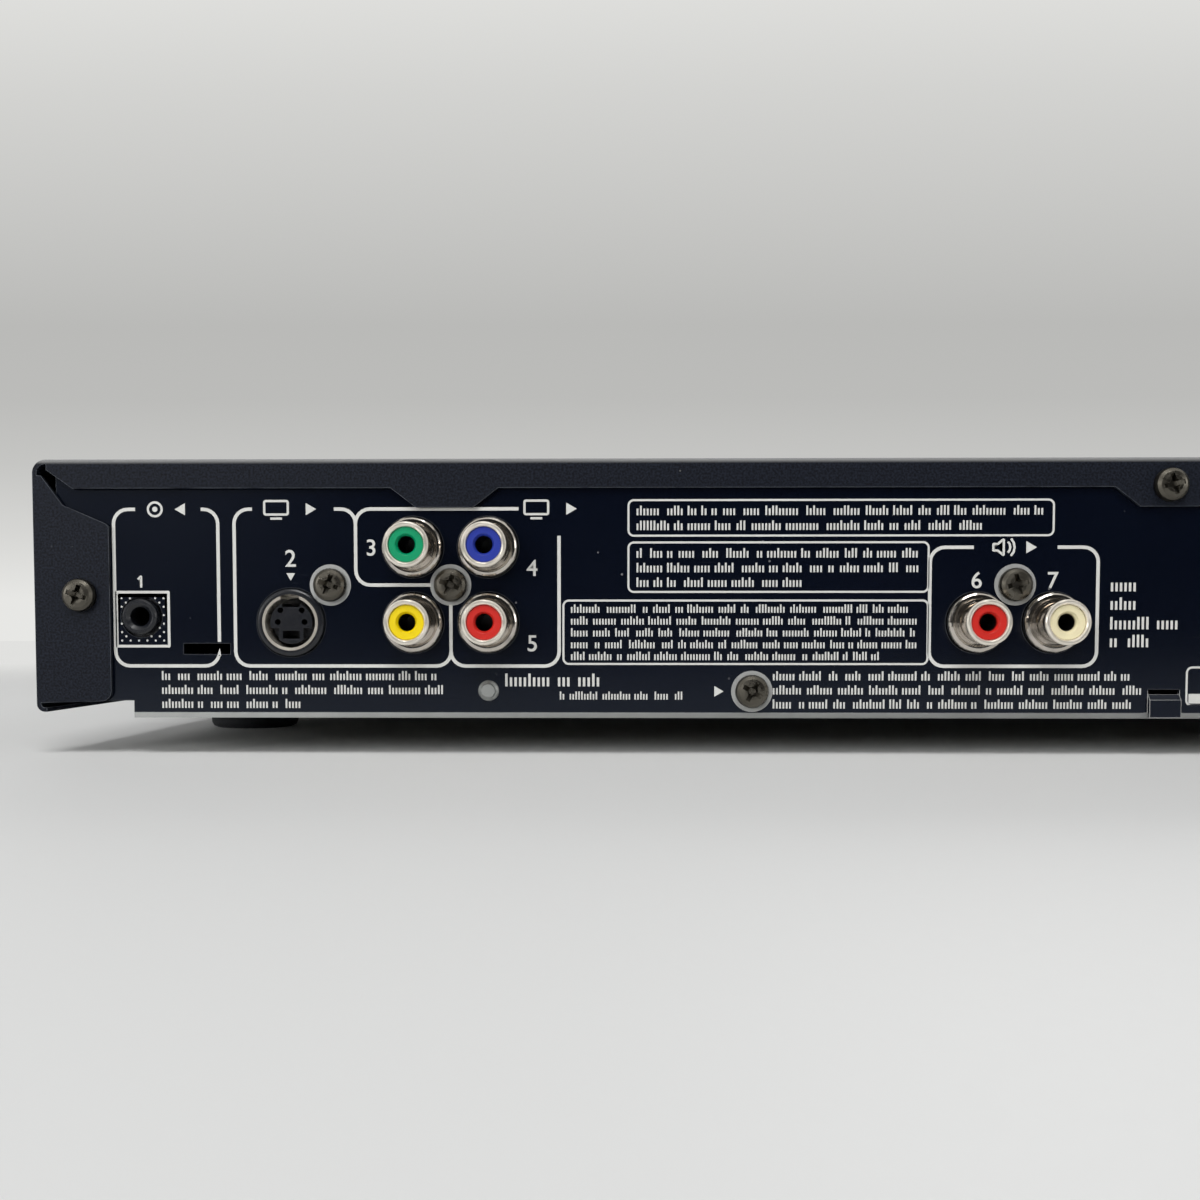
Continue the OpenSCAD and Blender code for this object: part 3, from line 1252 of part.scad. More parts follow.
module display_tube() {
    w = window_w - 12;
    h = window_h - 1;
    d = front_board_y - front_y - front_t - 1.4;
    color("#5a6a70") {
        on_front(0, window_z, front_board_y) translate([-w / 2, -h / 2, 0.6]) cube([w, h, d - 0.6]);
        for (i = [-12:12])
            on_front(i * w / 27, window_z - h / 2 + 0.8, front_board_y) cylinder(r = 0.35, h = 0.7, $fn = 8);
    }
}

// Flat cables: one from the loader's rear to the main board, one from the front board
module ribbon(x, w, y0, y1, z0) {
    t = ribbon_t;
    z1 = board_top + plug_h + seat;
    z2 = z1 + 7;
    translate([x, 0, 0]) rotate([90, 0, 90]) linear_extrude(w)
        polygon([[y0, z0], [y0 + t, z0], [y0 + t, z2 - t], [y1, z2 - t], [y1, z1], [y1 + t, z1], [y1 + t, z2], [y0, z2]]);
}

module ribbon_cables() {
    color("#e9e7df") {
        ribbon(ribbon_x, ribbon_w, frame_rear_y + 0.2, main_plug_y + plug_d / 2, frame_z + ribbon_rise);
        ribbon(front_ribbon_x, front_ribbon_w, front_board_y + board_t + 0.1, front_plug_y + plug_d / 2,
            frame_z + ribbon_rise);
    }
}

module inner_screws() {
    color("#8d8f90") {
        for (x = [-lug_x, lug_x], y = lug_y)
            translate([x, y, frame_z + 2.4]) pan_screw(5, r = pilot_r - 0.05);
        for (s = [-1, 1], y = [disc_y - 12, disc_y + 12])
            translate([s * (frame_x - frame_t / 2), y, bridge_z + bridge_t]) pan_screw(7, head_r = 2.6, r = pilot_r - 0.05);
        for (p = board_posts)
            translate([p[0], p[1], board_top]) pan_screw(6, head_r = 2.8, r = pilot_r - 0.05);
    }
}

// ---------------------------------------------------------------- rear sockets

module control_jack() {
    face = rear_y - socket_y + 1.4;
    mouth_d = 0.6;
    color("#17191d") on_rear(control_x, control_z, socket_y) difference() {
        union() {
            translate([-6.5, -6, -14]) cube([13, control_z - board_top + 6, 14]);
            rotate_extrude()
                polygon([[0, 0], [control_barrel_r, 0], [control_barrel_r, face - 0.3], [control_barrel_r - 0.3, face],
                    [0, face]]);
        }
        translate([0, 0, -12]) cylinder(r = control_hole_r, h = 20);
        translate([0, 0, face - mouth_d]) cylinder(r1 = control_hole_r, r2 = control_hole_r + 0.7, h = mouth_d);
    }
}

module svideo_socket() {
    face = rear_y - socket_y + 0.9;
    groove = svideo_shell_r - svideo_shell_t;
    edge_r = 0.7;
    ear_z = between_z - jack_z;
    pins = [[-2, 2.3], [2, 2.3], [-2.5, 0.1], [2.5, 0.1]];
    color("#1b1d21") on_rear(svideo_x, jack_z, socket_y) difference() {
        union() {
            translate([-7.2, -7, -13]) cube([14.4, jack_z - board_top + 7, 13]);
            rotate_extrude()
                polygon([[0, 0], [svideo_r, 0], each arc([svideo_r - edge_r, face - edge_r], edge_r, 0, 90, 4),
                    [0, face]]);
            // Ear that takes the panel's screw
            translate([-svideo_ear - 3.6, -ear_z - 3.6, -9.5]) cube([7.2, 7.2, 9.5]);
        }
        translate([-svideo_ear, -ear_z, -9]) cylinder(r = screw_r + 0.05, h = 10);
        // Room for the metal shell and the plug's collar round the insert
        translate([0, 0, face - 7]) tube(svideo_shell_r + 0.05, groove - 0.05, 8);
        translate([0, 0, face - 6]) tube(groove, 3.95, 7);
        // The insert's face is set back, and further beside and above its pins
        translate([0, 0, face - 0.8]) cylinder(r = 4, h = 1);
        for (s = [-1, 1]) translate([s * 3.3 - 1, 1, face - 2.3]) cube([2, 2.5, 3]);
        translate([-1.7, -4.6, face - 6]) cube([3.4, 1.7, 7]);
        for (p = pins)
            translate([p[0], -p[1], face - 6]) cylinder(r = 0.55, h = 7);
        translate([-1.6, 1.5, face - 6]) cube([3.2, 1.5, 7]);
    }
}

module svideo_shell() {
    face = rear_y - socket_y + 0.9;
    color("#8f8a80") on_rear(svideo_x, jack_z, socket_y) difference() {
        translate([0, 0, face - 7]) tube(svideo_shell_r, svideo_shell_r - svideo_shell_t, 7);
        translate([-1.75, -svideo_shell_r - 1, face - 5]) cube([3.5, 3, 6]);
    }
}

// A moulded block that carries phono sockets, from the board up to a height above the middle one
module jack_block(x, w, top, jacks, screw) {
    color("#16181c") difference() {
        translate([x - w / 2, socket_y - block_d, board_top]) cube([w, block_d, top - board_top]);
        for (p = jacks)
            on_rear(p[0], p[1], socket_y - 9) cylinder(r = insert_r + 0.1, h = 10);
        on_rear(screw[0], screw[1], socket_y - 9) cylinder(r = screw_r + 0.05, h = 10);
    }
}

module video_jack_block() {
    jack_block(video_x, 2 * jack_pitch + 1, upper_jack_z + jack_pitch / 2, video_jacks, [video_x, between_z]);
}

module audio_jack_block() {
    jack_block(audio_x, 2 * jack_pitch + 1, between_z + 3.5, audio_jacks, [audio_x, between_z]);
}

module digital_jack_block() {
    jack_block(digital_x, jack_pitch, digital_screw_z + 3.5, [digital_jack], [digital_x, digital_screw_z]);
}

module phono_sleeve() {
    end = rear_y + jack_reach - socket_y;
    step = rear_y - socket_y + 0.9;
    edge_r = 0.8;
    neck_r = sleeve_r - 0.3;
    bead = sleeve_r - sleeve_in_r;
    // Base with a rounded edge, a groove, the neck, and a rolled bead at the rim
    rotate_extrude()
        polygon([[sleeve_in_r, 0], [sleeve_base_r, 0],
            each arc([sleeve_base_r - edge_r, step], edge_r, 0, 90, 4), [neck_r + 0.6, step + edge_r],
            [neck_r + 0.45, step + 0.45], [neck_r, step + 0.45], [neck_r, end - bead - 0.5],
            each arc([sleeve_r - bead / 2, end - bead / 2], bead / 2, 0, 180, 6)]);
}

module phono_sleeves() {
    color("#a8a39a")
        for (p = concat(video_jacks, audio_jacks, [digital_jack]))
            on_rear(p[0], p[1], socket_y) phono_sleeve();
}

module phono_insert(p) {
    h = rear_y + jack_reach - socket_y - 0.6;
    mouth_d = 0.5;
    on_rear(p[0], p[1], socket_y) difference() {
        translate([0, 0, -8]) cylinder(r = insert_r, h = h + 8);
        translate([0, 0, h - 9]) cylinder(r = phono_hole_r, h = 10);
        translate([0, 0, h - mouth_d]) cylinder(r1 = phono_hole_r, r2 = phono_hole_r + mouth_d, h = mouth_d + eps);
    }
}

module insert_green() { color("#2c8a4a") phono_insert(video_jacks[0]); }
module insert_blue() { color("#2f55a8") phono_insert(video_jacks[1]); }
module insert_yellow() { color("#d9b23a") phono_insert(video_jacks[2]); }
module inserts_red() { color("#b5302c") { phono_insert(video_jacks[3]); phono_insert(audio_jacks[0]); } }
module insert_white() { color("#e8e4d6") phono_insert(audio_jacks[1]); }
module insert_orange() { color("#d9702a") phono_insert(digital_jack); }

module mains_inlet() {
    face = rear_y - socket_y + 0.5;
    color("#17191c") {
        on_rear(inlet_x, inlet_z, socket_y) difference() {
            union() {
                translate([0, 0, -2.4]) linear_extrude(2.4) rounded(inlet_w, inlet_h, 2);
                translate([0, 0, -13]) linear_extrude(13 + face) rounded(inlet_in_w + 3, inlet_in_h + 2, 2);
            }
            translate([0, 0, face - inlet_recess]) linear_extrude(inlet_recess + 1)
                for (s = [-1, 1]) {
                    translate([s * (inlet_in_w - inlet_in_h) / 2, 0]) circle(d = inlet_in_h);
                    translate([s * inlet_in_w / 8 - inlet_in_w / 8, -inlet_in_h / 2 + 0.6])
                        square([inlet_in_w / 4, inlet_in_h - 1.2]);
                }
            for (s = [-1, 1])
                translate([s * inlet_screw_x, 0, -3]) cylinder(r = screw_r + 0.05, h = 4);
        }
        for (s = [-1, 1])
            on_rear(inlet_x + s * inlet_pin_pitch / 2, inlet_z, socket_y)
                translate([0, 0, face - inlet_recess - 1]) cylinder(r = inlet_pin_r, h = inlet_recess - 0.5);
    }
}

top_cover();
cover_screws();
base_chassis();
feet();
rear_panel();
panel_screws();
front_panel();
display_window();
standby_lens();
power_button();
open_close_button();
play_button();
pause_button();
stop_button();
skip_back_button();
skip_forward_button();
tray();
tray_front();
loader_frame();
clamper_bridge();
clamper();
loading_motor();
motor_pulley();
loading_belt();
pulley_gear();
drive_gear();
cam_slider();
deck_cradle();
traverse_chassis();
deck_dampers();
spindle_motor();
turntable();
guide_rods();
pickup();
objective_lens();
sled_motor();
lead_screw();
main_board();
main_board_parts();
power_board();
transformer();
heatsink();
front_board();
display_tube();
ribbon_cables();
inner_screws();
control_jack();
svideo_socket();
svideo_shell();
video_jack_block();
audio_jack_block();
digital_jack_block();
phono_sleeves();
insert_green();
insert_blue();
inserts_red();
insert_yellow();
insert_white();
insert_orange();
mains_inlet();
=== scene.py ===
"""Looks of a slim disc player: finishes for every part, printed markings and a plain studio."""

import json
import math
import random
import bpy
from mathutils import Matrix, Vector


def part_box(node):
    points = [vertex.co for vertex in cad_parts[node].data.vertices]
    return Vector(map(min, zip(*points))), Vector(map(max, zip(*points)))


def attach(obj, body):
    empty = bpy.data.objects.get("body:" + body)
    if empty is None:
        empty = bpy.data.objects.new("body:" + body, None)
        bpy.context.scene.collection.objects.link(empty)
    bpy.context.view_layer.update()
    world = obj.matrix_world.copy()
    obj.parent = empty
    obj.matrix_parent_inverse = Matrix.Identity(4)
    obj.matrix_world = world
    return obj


bl_info = {
    "name": "Disc Player Looks",
    "version": (1, 0, 0),
    "blender": (4, 5, 0),
    "location": "3D View > Sidebar > Disc Player",
    "description": "Finishes, printed markings and studio for a disc player with a tray",
    "category": "Object",
}

import bpy
from mathutils import Matrix, Vector

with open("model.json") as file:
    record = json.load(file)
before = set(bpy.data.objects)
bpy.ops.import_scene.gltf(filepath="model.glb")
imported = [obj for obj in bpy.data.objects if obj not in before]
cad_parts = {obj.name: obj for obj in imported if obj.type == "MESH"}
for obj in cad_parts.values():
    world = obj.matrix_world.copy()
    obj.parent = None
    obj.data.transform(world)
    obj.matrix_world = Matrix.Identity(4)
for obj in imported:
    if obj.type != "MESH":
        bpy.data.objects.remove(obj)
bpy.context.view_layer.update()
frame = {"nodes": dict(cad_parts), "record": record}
MOUNTS = {m["name"]: Vector(m["pos_m"]) for m in frame["record"]["mounts"]}

# Sockets on the rear panel, by the middle of each opening
CONTROL, VIDEO, MAINS = MOUNTS["control_socket"], MOUNTS["svideo_socket"], MOUNTS["mains_socket"]
GREEN, BLUE, YELLOW = MOUNTS["component_green"], MOUNTS["component_blue"], MOUNTS["composite_yellow"]
RED, WHITE, ORANGE = MOUNTS["audio_red"], MOUNTS["audio_white"], MOUNTS["digital_orange"]

# The panel's face, the inserts' ends, the cover's top, the case's underside and the main board's face
MM = 0.001
PANEL_Y = VIDEO.y
INSERT_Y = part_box("insert_green")[1].y
TOP_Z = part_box("top_cover")[1].z
UNDER_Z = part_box("feet")[1].z
BOARD_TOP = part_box("main_board")[1].z

# Heights on the rear panel: the lower row of sockets, the frames' lines and the low screws
JACK_Z = YELLOW.z
FRAME_TOP_Z = JACK_Z + 21.1 * MM
AUDIO_TOP_Z = JACK_Z + 13.9 * MM
FRAME_FOOT_Z = JACK_Z - 8.1 * MM
FOOT_SCREW_Z = UNDER_Z + 5 * MM

# Screws on the panel: beside the round video socket, between the phono sockets, and along the foot
SCREW_Z = (GREEN.z + YELLOW.z) / 2
FOUR_SCREW_X = (GREEN.x + BLUE.x) / 2
SCREWS_X = (VIDEO.x - 7.4 * MM, FOUR_SCREW_X, (RED.x + WHITE.x) / 2)
FOOT_SCREWS_X = (76.2 * MM, -110 * MM)

# Surroundings: what is seen far away, and the dim light from all sides
FAR_GREY = (0.75, 0.75, 0.735)
SKY_GREY = (0.055, 0.06, 0.07)


# ------ settings


class StageSettings(bpy.types.PropertyGroup):
    """Camera, lamps and floor."""

    lens: bpy.props.FloatProperty(
        name="Lens", description="Focal length, in millimetres", default=36.09, min=10, max=200
    )
    shift: bpy.props.FloatProperty(name="Shift", description="Upward shift of the frame", default=0.07)
    camera_place: bpy.props.FloatVectorProperty(
        name="Camera",
        description="Place of the camera",
        default=(0.10103, PANEL_Y + 0.22427, 0.02377),
        unit="LENGTH",
    )
    camera_yaw: bpy.props.FloatProperty(
        name="Yaw", description="Turn about the vertical", default=math.radians(0.882), subtype="ANGLE"
    )
    camera_pitch: bpy.props.FloatProperty(
        name="Pitch", description="Tilt, negative looks down", default=math.radians(-2.658), subtype="ANGLE"
    )
    floor_colour: bpy.props.FloatVectorProperty(
        name="Floor", description="Colour of the floor", default=(0.79, 0.79, 0.775), subtype="COLOR"
    )
    over_power: bpy.props.FloatProperty(
        name="Overhead lamp", description="Power of the lamp overhead, in watts", default=24.0, min=0
    )
    key_power: bpy.props.FloatProperty(
        name="Key lamp", description="Power of the lamp that faces the sockets, in watts", default=23.0, min=0
    )
    low_power: bpy.props.FloatProperty(
        name="Low lamps", description="Power of each low lamp at the sides, in watts", default=1.5, min=0
    )
    front_power: bpy.props.FloatProperty(
        name="Front lamp", description="Power of the lamp that faces the keys, in watts", default=6.0, min=0
    )


class PrintSettings(bpy.types.PropertyGroup):
    """Screen printing on the rear panel and the keys."""

    line: bpy.props.FloatProperty(
        name="Frame line", description="Width of the frames' lines", default=0.63 * MM, unit="LENGTH"
    )
    fine_line: bpy.props.FloatProperty(
        name="Fine line", description="Width of the fine boxes' lines", default=0.37 * MM, unit="LENGTH"
    )
    corner: bpy.props.FloatProperty(
        name="Corner", description="Radius of the frames' corners", default=2.7 * MM, unit="LENGTH"
    )
    figure: bpy.props.FloatProperty(
        name="Figure", description="Height of the sockets' figures", default=3.0 * MM, unit="LENGTH"
    )
    thickness: bpy.props.FloatProperty(
        name="Thickness", description="Thickness of the printing", default=0.03 * MM, unit="LENGTH"
    )


# ------ shader maths


class Value:
    """A shader socket that takes part in Python arithmetic."""

    def __init__(self, shader, socket):
        self.shader = shader
        self.socket = socket

    def _with(self, operation, other, swapped=False):
        pair = (other, self) if swapped else (self, other)
        return self.shader.maths(operation, *pair)

    def __add__(self, other):
        return self._with("ADD", other)

    __radd__ = __add__

    def __sub__(self, other):
        return self._with("SUBTRACT", other)

    def __rsub__(self, other):
        return self._with("SUBTRACT", other, swapped=True)

    def __mul__(self, other):
        return self._with("MULTIPLY", other)

    __rmul__ = __mul__

    def __truediv__(self, other):
        return self._with("DIVIDE", other)

    def above(self, limit, soft):
        """1 where the value is over the limit, with a soft edge."""
        span = {"Value": self, "From_Min": limit - soft, "From_Max": limit + soft}
        return self.shader.node("ShaderNodeMapRange", {"interpolation_type": "SMOOTHSTEP"}, **span)


class NodeMaths:
    """A node tree, built from expressions."""

    def __init__(self, tree):
        self.tree = tree

    def feed(self, socket, value):
        """Links a value to a socket, or sets the socket to a plain number or colour."""
        if isinstance(value, Value):
            self.tree.links.new(value.socket, socket)
        elif hasattr(value, "__len__") and len(value) == 3 and socket.type == "RGBA":
            socket.default_value = (*value, 1)
        else:
            socket.default_value = value

    def node(self, kind, settings=None, output=0, **sockets):
        """Any node, from its settings and its sockets' values, where _ stands for a blank in a name."""
        made = self.tree.nodes.new(kind)
        for key, value in (settings or {}).items():
            if key == "stops":
                ramp = made.color_ramp
                while len(ramp.elements) < len(value):
                    ramp.elements.new(0.5)
                for element, (at, colour) in zip(ramp.elements, value):
                    element.position = at
                    element.color = (*colour, 1)
            else:
                setattr(made, key, value)
        for key, value in sockets.items():
            self.feed(made.inputs[key.replace("_", " ")], value)
        return Value(self, made.outputs[output])

    def maths(self, operation, first, second=0.0):
        """The outcome of one Math node."""
        made = self.tree.nodes.new("ShaderNodeMath")
        made.operation = operation
        self.feed(made.inputs[0], first)
        self.feed(made.inputs[1], second)
        return Value(self, made.outputs[0])

    def mix(self, first, second, share):
        """Mixes two colours by a share."""
        made = self.tree.nodes.new("ShaderNodeMix")
        made.data_type = "RGBA"
        factor, colour_a, colour_b, colour_out = 0, 6, 7, 2
        self.feed(made.inputs[factor], share)
        self.feed(made.inputs[colour_a], first)
        self.feed(made.inputs[colour_b], second)
        return Value(self, made.outputs[colour_out])

    def mix_shaders(self, first, second, share):
        """Mixes two shader sockets by a share."""
        blend = self.tree.nodes.new("ShaderNodeMixShader")
        self.feed(blend.inputs[0], share)
        self.tree.links.new(first, blend.inputs[1])
        self.tree.links.new(second, blend.inputs[2])
        return blend.outputs[0]

    def seen(self):
        """1 for what the camera sees straight, in gloss or through glass."""
        rays = self.tree.nodes.new("ShaderNodeLightPath")
        straight, gloss, through = (
            Value(self, rays.outputs["Is %s Ray" % kind]) for kind in ("Camera", "Glossy", "Transmission")
        )
        return self.maths("MAXIMUM", straight, self.maths("MAXIMUM", gloss, through))


class Shader(NodeMaths):
    """A material, patterned by the place on the piece."""

    def __init__(self, name):
        self.material = bpy.data.materials.new(name)
        self.material.use_nodes = True
        super().__init__(self.material.node_tree)
        self.tree.nodes.clear()
        self.surface = self.tree.nodes.new("ShaderNodeBsdfPrincipled")
        self.output = self.tree.nodes.new("ShaderNodeOutputMaterial")
        self.tree.links.new(self.surface.outputs[0], self.output.inputs[0])
        self.place = self.node("ShaderNodeTexCoord", output="Object")

    def axis(self, name, vector=None):
        """One coordinate of the place on the piece, or of another vector."""
        return self.node("ShaderNodeSeparateXYZ", output=name, Vector=vector or self.place)

    def stretched(self, stretch):
        """The place on the piece, scaled along each axis."""
        made = self.tree.nodes.new("ShaderNodeVectorMath")
        made.operation = "MULTIPLY"
        self.feed(made.inputs[0], self.place)
        made.inputs[1].default_value = stretch
        return Value(self, made.outputs[0])

    def noise(self, scale, detail=2.0, stretch=None):
        """Noise about 0.5, which a small stretch draws out along that axis."""
        vector = self.stretched(stretch) if stretch else self.place
        return self.node("ShaderNodeTexNoise", Vector=vector, Scale=scale, Detail=detail)

    def specks(self, scale, size):
        """Small round specks, 1 inside and 0 outside."""
        distance = self.node("ShaderNodeTexVoronoi", Vector=self.place, Scale=scale)
        return 1 - distance.above(size, size * 0.3)

    def bump(self, height, depth, strength=1.0, rounded=0.0):
        """A normal from a height; rounded softens the edges over that distance."""
        sockets = {"Height": height, "Distance": depth, "Strength": strength}
        if rounded:
            sockets["Normal"] = self.node("ShaderNodeBevel", {"samples": 4}, Radius=rounded)
        return self.node("ShaderNodeBump", **sockets)

    def edges(self, reach, gain=6.0):
        """1 along sharp edges and 0 on flat faces."""
        soft = self.node("ShaderNodeBevel", {"samples": 6}, Radius=reach)
        true = self.node("ShaderNodeNewGeometry", output="Normal")
        made = self.tree.nodes.new("ShaderNodeVectorMath")
        made.operation = "DOT_PRODUCT"
        self.feed(made.inputs[0], soft)
        self.feed(made.inputs[1], true)
        bent = 1 - Value(self, made.outputs["Value"])
        return self.maths("MINIMUM", bent * gain, 1.0)

    def finish(self, **sockets):
        """Feeds the surface's sockets and gives the material."""
        for key, value in sockets.items():
            self.feed(self.surface.inputs[key.replace("_", " ")], value)
        return self.material


def shade(colour, factor):
    """The colour made lighter or darker."""
    return tuple(min(1.0, channel * factor) for channel in colour)


# ------ finishes


def textured_paint(name, colour, rough=0.5, grain=0.00005, pitch=2500):
    """Powder-textured paint on sheet steel, with a painted highlight along the top bends, cut edges paler
    from wear and a painted highlight, a little dusty.
    """
    s = Shader(name)
    fine = s.noise(pitch, 2)
    broad = s.noise(14, 2)
    dust = s.specks(260, 0.045) * s.noise(60).above(0.56, 0.04)
    # Cut edges paler in patches: partly real edge wear, partly a painted highlight where the edges catch
    # light.
    worn = s.edges(0.0002, 10.0) * s.noise(180, 3).above(0.38, 0.14)
    upward = s.axis("Z", s.node("ShaderNodeNewGeometry", output="Normal"))
    # Painted highlight: a paler grey along the top bend, just under the flat top.
    high = s.axis("Z").above(TOP_Z - 0.5 * MM, 0.45 * MM)
    bend_highlight = high * (1 - upward.above(0.93, 0.05))
    base = s.mix(shade(colour, 0.45), shade(colour, 1.4), fine.above(0.5, 0.2))
    # Greys of the painted bend highlight, of the edge wear with its painted highlight, and of the dust.
    bend_highlight_grey, rubbed_edge, dust_grey = (0.34, 0.34, 0.335), (0.16, 0.175, 0.195), (0.30, 0.30, 0.29)
    rubbed = s.mix(s.mix(base, bend_highlight_grey, bend_highlight * 0.75), rubbed_edge, worn * 0.7)
    return s.finish(
        Base_Color=s.mix(rubbed, dust_grey, dust * 0.5),
        Roughness=rough + (fine - 0.5) * 0.2 + (broad - 0.5) * 0.1 - bend_highlight * 0.15,
        Specular_IOR_Level=0.09,
        Normal=s.bump(fine + dust, grain, 0.9, rounded=0.0002),
    )


def satin_paint(name, colour, rough=0.17):
    """Smooth satin paint with faint hair scratches and dust, and bare cut edges on the hook."""
    s = Shader(name)
    broad = s.noise(22, 3)
    fine = s.noise(2600, 1)
    hair = s.noise(90, 2, stretch=(1, 1, 14)).above(0.74, 0.02)
    dust = s.specks(260, 0.055) * s.noise(45).above(0.56, 0.04)
    worn = s.edges(0.00025)
    hook_half, hook_top = 3.6 * MM, UNDER_Z + 5.2 * MM
    beside = s.maths("ABSOLUTE", s.axis("X")).above(hook_half, 0.4 * MM)
    hook = (1 - beside) * (1 - s.axis("Z").above(hook_top, 0.2 * MM))
    base = s.mix(shade(colour, 0.85), shade(colour, 1.2), broad)
    rubbed_edge, bare_steel, dust_grey = (0.10, 0.105, 0.115), (0.5, 0.5, 0.48), (0.26, 0.26, 0.26)
    rubbed = s.mix(s.mix(base, rubbed_edge, worn * 0.7), bare_steel, worn * hook)
    return s.finish(
        Base_Color=s.mix(rubbed, dust_grey, dust * 0.6),
        Roughness=rough + (broad - 0.5) * 0.1 + hair * 0.1 + dust * 0.3,
        Specular_IOR_Level=0.32,
        Specular_Tint=(0.8, 0.88, 1.0),
        Normal=s.bump(fine, 0.000004, 0.5, rounded=0.00015),
    )


def moulded(name, colour, rough=0.45, grain=0.00002, pitch=1800, rounded=0.00025):
    """Injection-moulded plastic with a spark-eroded grain."""
    s = Shader(name)
    fine = s.noise(pitch, 2)
    broad = s.noise(30, 2)
    return s.finish(
        Base_Color=s.mix(shade(colour, 0.9), shade(colour, 1.12), broad),
        Roughness=rough + (fine - 0.5) * 0.16 + (broad - 0.5) * 0.1,
        Normal=s.bump(fine, grain, 0.8, rounded=rounded),
    )


def plated(name, colour, rough=0.22, brush=(1, 1, 1), pitch=900, tarnish=0.35):
    """Plated or bare metal, brushed along the axis whose stretch is small."""
    s = Shader(name)
    grain = s.noise(pitch, 2, stretch=brush)
    broad = s.noise(120, 3)
    dull = broad.above(0.6, 0.15)
    return s.finish(
        Base_Color=s.mix(colour, shade(colour, 1 - tarnish), dull),
        Metallic=1.0,
        Roughness=rough + (grain - 0.5) * 0.16 + dull * 0.4 * tarnish,
        Normal=s.bump(grain, 0.000006, 0.5, rounded=0.0001),
    )


def socket_insert(name, colour, rough=0.32):
    """Coloured moulding round a socket's contact, painted near-black deeper than its face as painted shade in
    the hole.
    """
    s = Shader(name)
    fine = s.noise(1800, 2)
    broad = s.noise(160, 2)
    # Painted shade: the moulding turns near-black deeper than its face, as if the hole lay in shade.
    painted_shade_depth, dark = 1.1 * MM, (0.003, 0.003, 0.004)
    front = s.axis("Y").above(INSERT_Y - painted_shade_depth, 0.25 * MM)
    face = s.mix(shade(colour, 0.9), shade(colour, 1.1), broad)
    return s.finish(
        Base_Color=s.mix(dark, face, front),
        Roughness=rough + (fine - 0.5) * 0.12,
        Specular_IOR_Level=0.4,
        Normal=s.bump(fine, 0.000006, 0.6, rounded=0.0002),
    )


def nickel_sleeve(name, colour):
    """Polished nickel with stains; a painted highlight makes the rolled rim and the round socket's shell
    pale, so the neck behind it looks darker.
    """
    s = Shader(name)
    fine = s.noise(900, 2)
    stain = s.noise(240, 3).above(0.6, 0.12)
    # Painted highlight: pale nickel on the rolled rims near the inserts' ends and on the round socket's
    # shell.
    rim_depth, shell_reach, rim_highlight_nickel = 0.8 * MM, 7.2 * MM, (0.86, 0.80, 0.70)
    tip = s.axis("Y").above(INSERT_Y - rim_depth, 0.5 * MM)
    shell_highlight = 1 - s.maths("ABSOLUTE", s.axis("X") - VIDEO.x).above(shell_reach, 0.2 * MM)
    rim_highlight = s.maths("MAXIMUM", tip, shell_highlight)
    neck = s.mix(colour, shade(colour, 0.6), stain)
    return s.finish(
        Base_Color=s.mix(neck, rim_highlight_nickel, rim_highlight),
        Metallic=1 - rim_highlight * 0.35,
        Roughness=0.1 + (fine - 0.5) * 0.08 + stain * 0.1,
        Normal=s.bump(fine, 0.000002, 0.5, rounded=0.0001),
    )


def bare_metal(name, colour, rough=0.5):
    """Masked sheet that kept its dull tinned face."""
    s = Shader(name)
    grain = s.noise(1200, 2, stretch=(0.3, 1, 1))
    broad = s.noise(160, 3)
    return s.finish(
        Base_Color=s.mix(shade(colour, 0.84), shade(colour, 1.08), broad),
        Metallic=0.3,
        Roughness=rough + (grain - 0.5) * 0.2,
        Normal=s.bump(grain, 0.000006, 0.5),
    )


def soft_rubber(name, colour):
    """Matt rubber with a faint pale bloom."""
    s = Shader(name)
    fine = s.noise(1300, 3)
    bloom = s.noise(50, 3).above(0.6, 0.12)
    return s.finish(
        Base_Color=s.mix(colour, shade(colour, 2.2), bloom),
        Roughness=0.82 + (fine - 0.5) * 0.2,
        Normal=s.bump(fine, 0.00003, 0.7, rounded=0.0003),
    )


def clear_moulding(name, colour, rough=0.06, gloss=0.5, coat=0.6):
    """Polished tinted plastic or glass, with faint wipe marks."""
    s = Shader(name)
    wipe = s.noise(40, 4, stretch=(1, 1, 3))
    return s.finish(
        Base_Color=s.mix(shade(colour, 0.85), shade(colour, 1.15), wipe),
        Roughness=rough + wipe.above(0.55, 0.1) * 0.06,
        Specular_IOR_Level=gloss,
        Coat_Weight=coat,
        Coat_Roughness=0.03,
        Normal=s.bump(wipe, 0.00001, 0.15, rounded=0.00015),
    )


def circuit_board(name, colour, parts=None):
    """Solder resist over copper tracks; parts is the colour of what stands on the board."""
    s = Shader(name)
    nests = s.node("ShaderNodeTexVoronoi", {"distance": "CHEBYCHEV"}, Vector=s.place, Scale=60.0)
    tracks = s.maths("SINE", nests * 85.0).above(0.3, 0.25)
    pads = s.node("ShaderNodeTexVoronoi", Vector=s.place, Scale=330.0)
    tinned = 1 - pads.above(0.2, 0.03)
    fine = s.noise(900, 2)
    solder = (0.5, 0.5, 0.46)
    face = s.mix(s.mix(colour, shade(colour, 1.7), tracks), solder, tinned * 0.8)
    if parts:
        face = s.mix(face, parts, s.axis("Z").above(BOARD_TOP + 0.3 * MM, 0.1 * MM))
    return s.finish(
        Base_Color=face,
        Roughness=0.4 + fine * 0.15 - tinned * 0.1,
        Normal=s.bump(tracks * 0.5 + tinned, 0.00003, 0.6),
    )


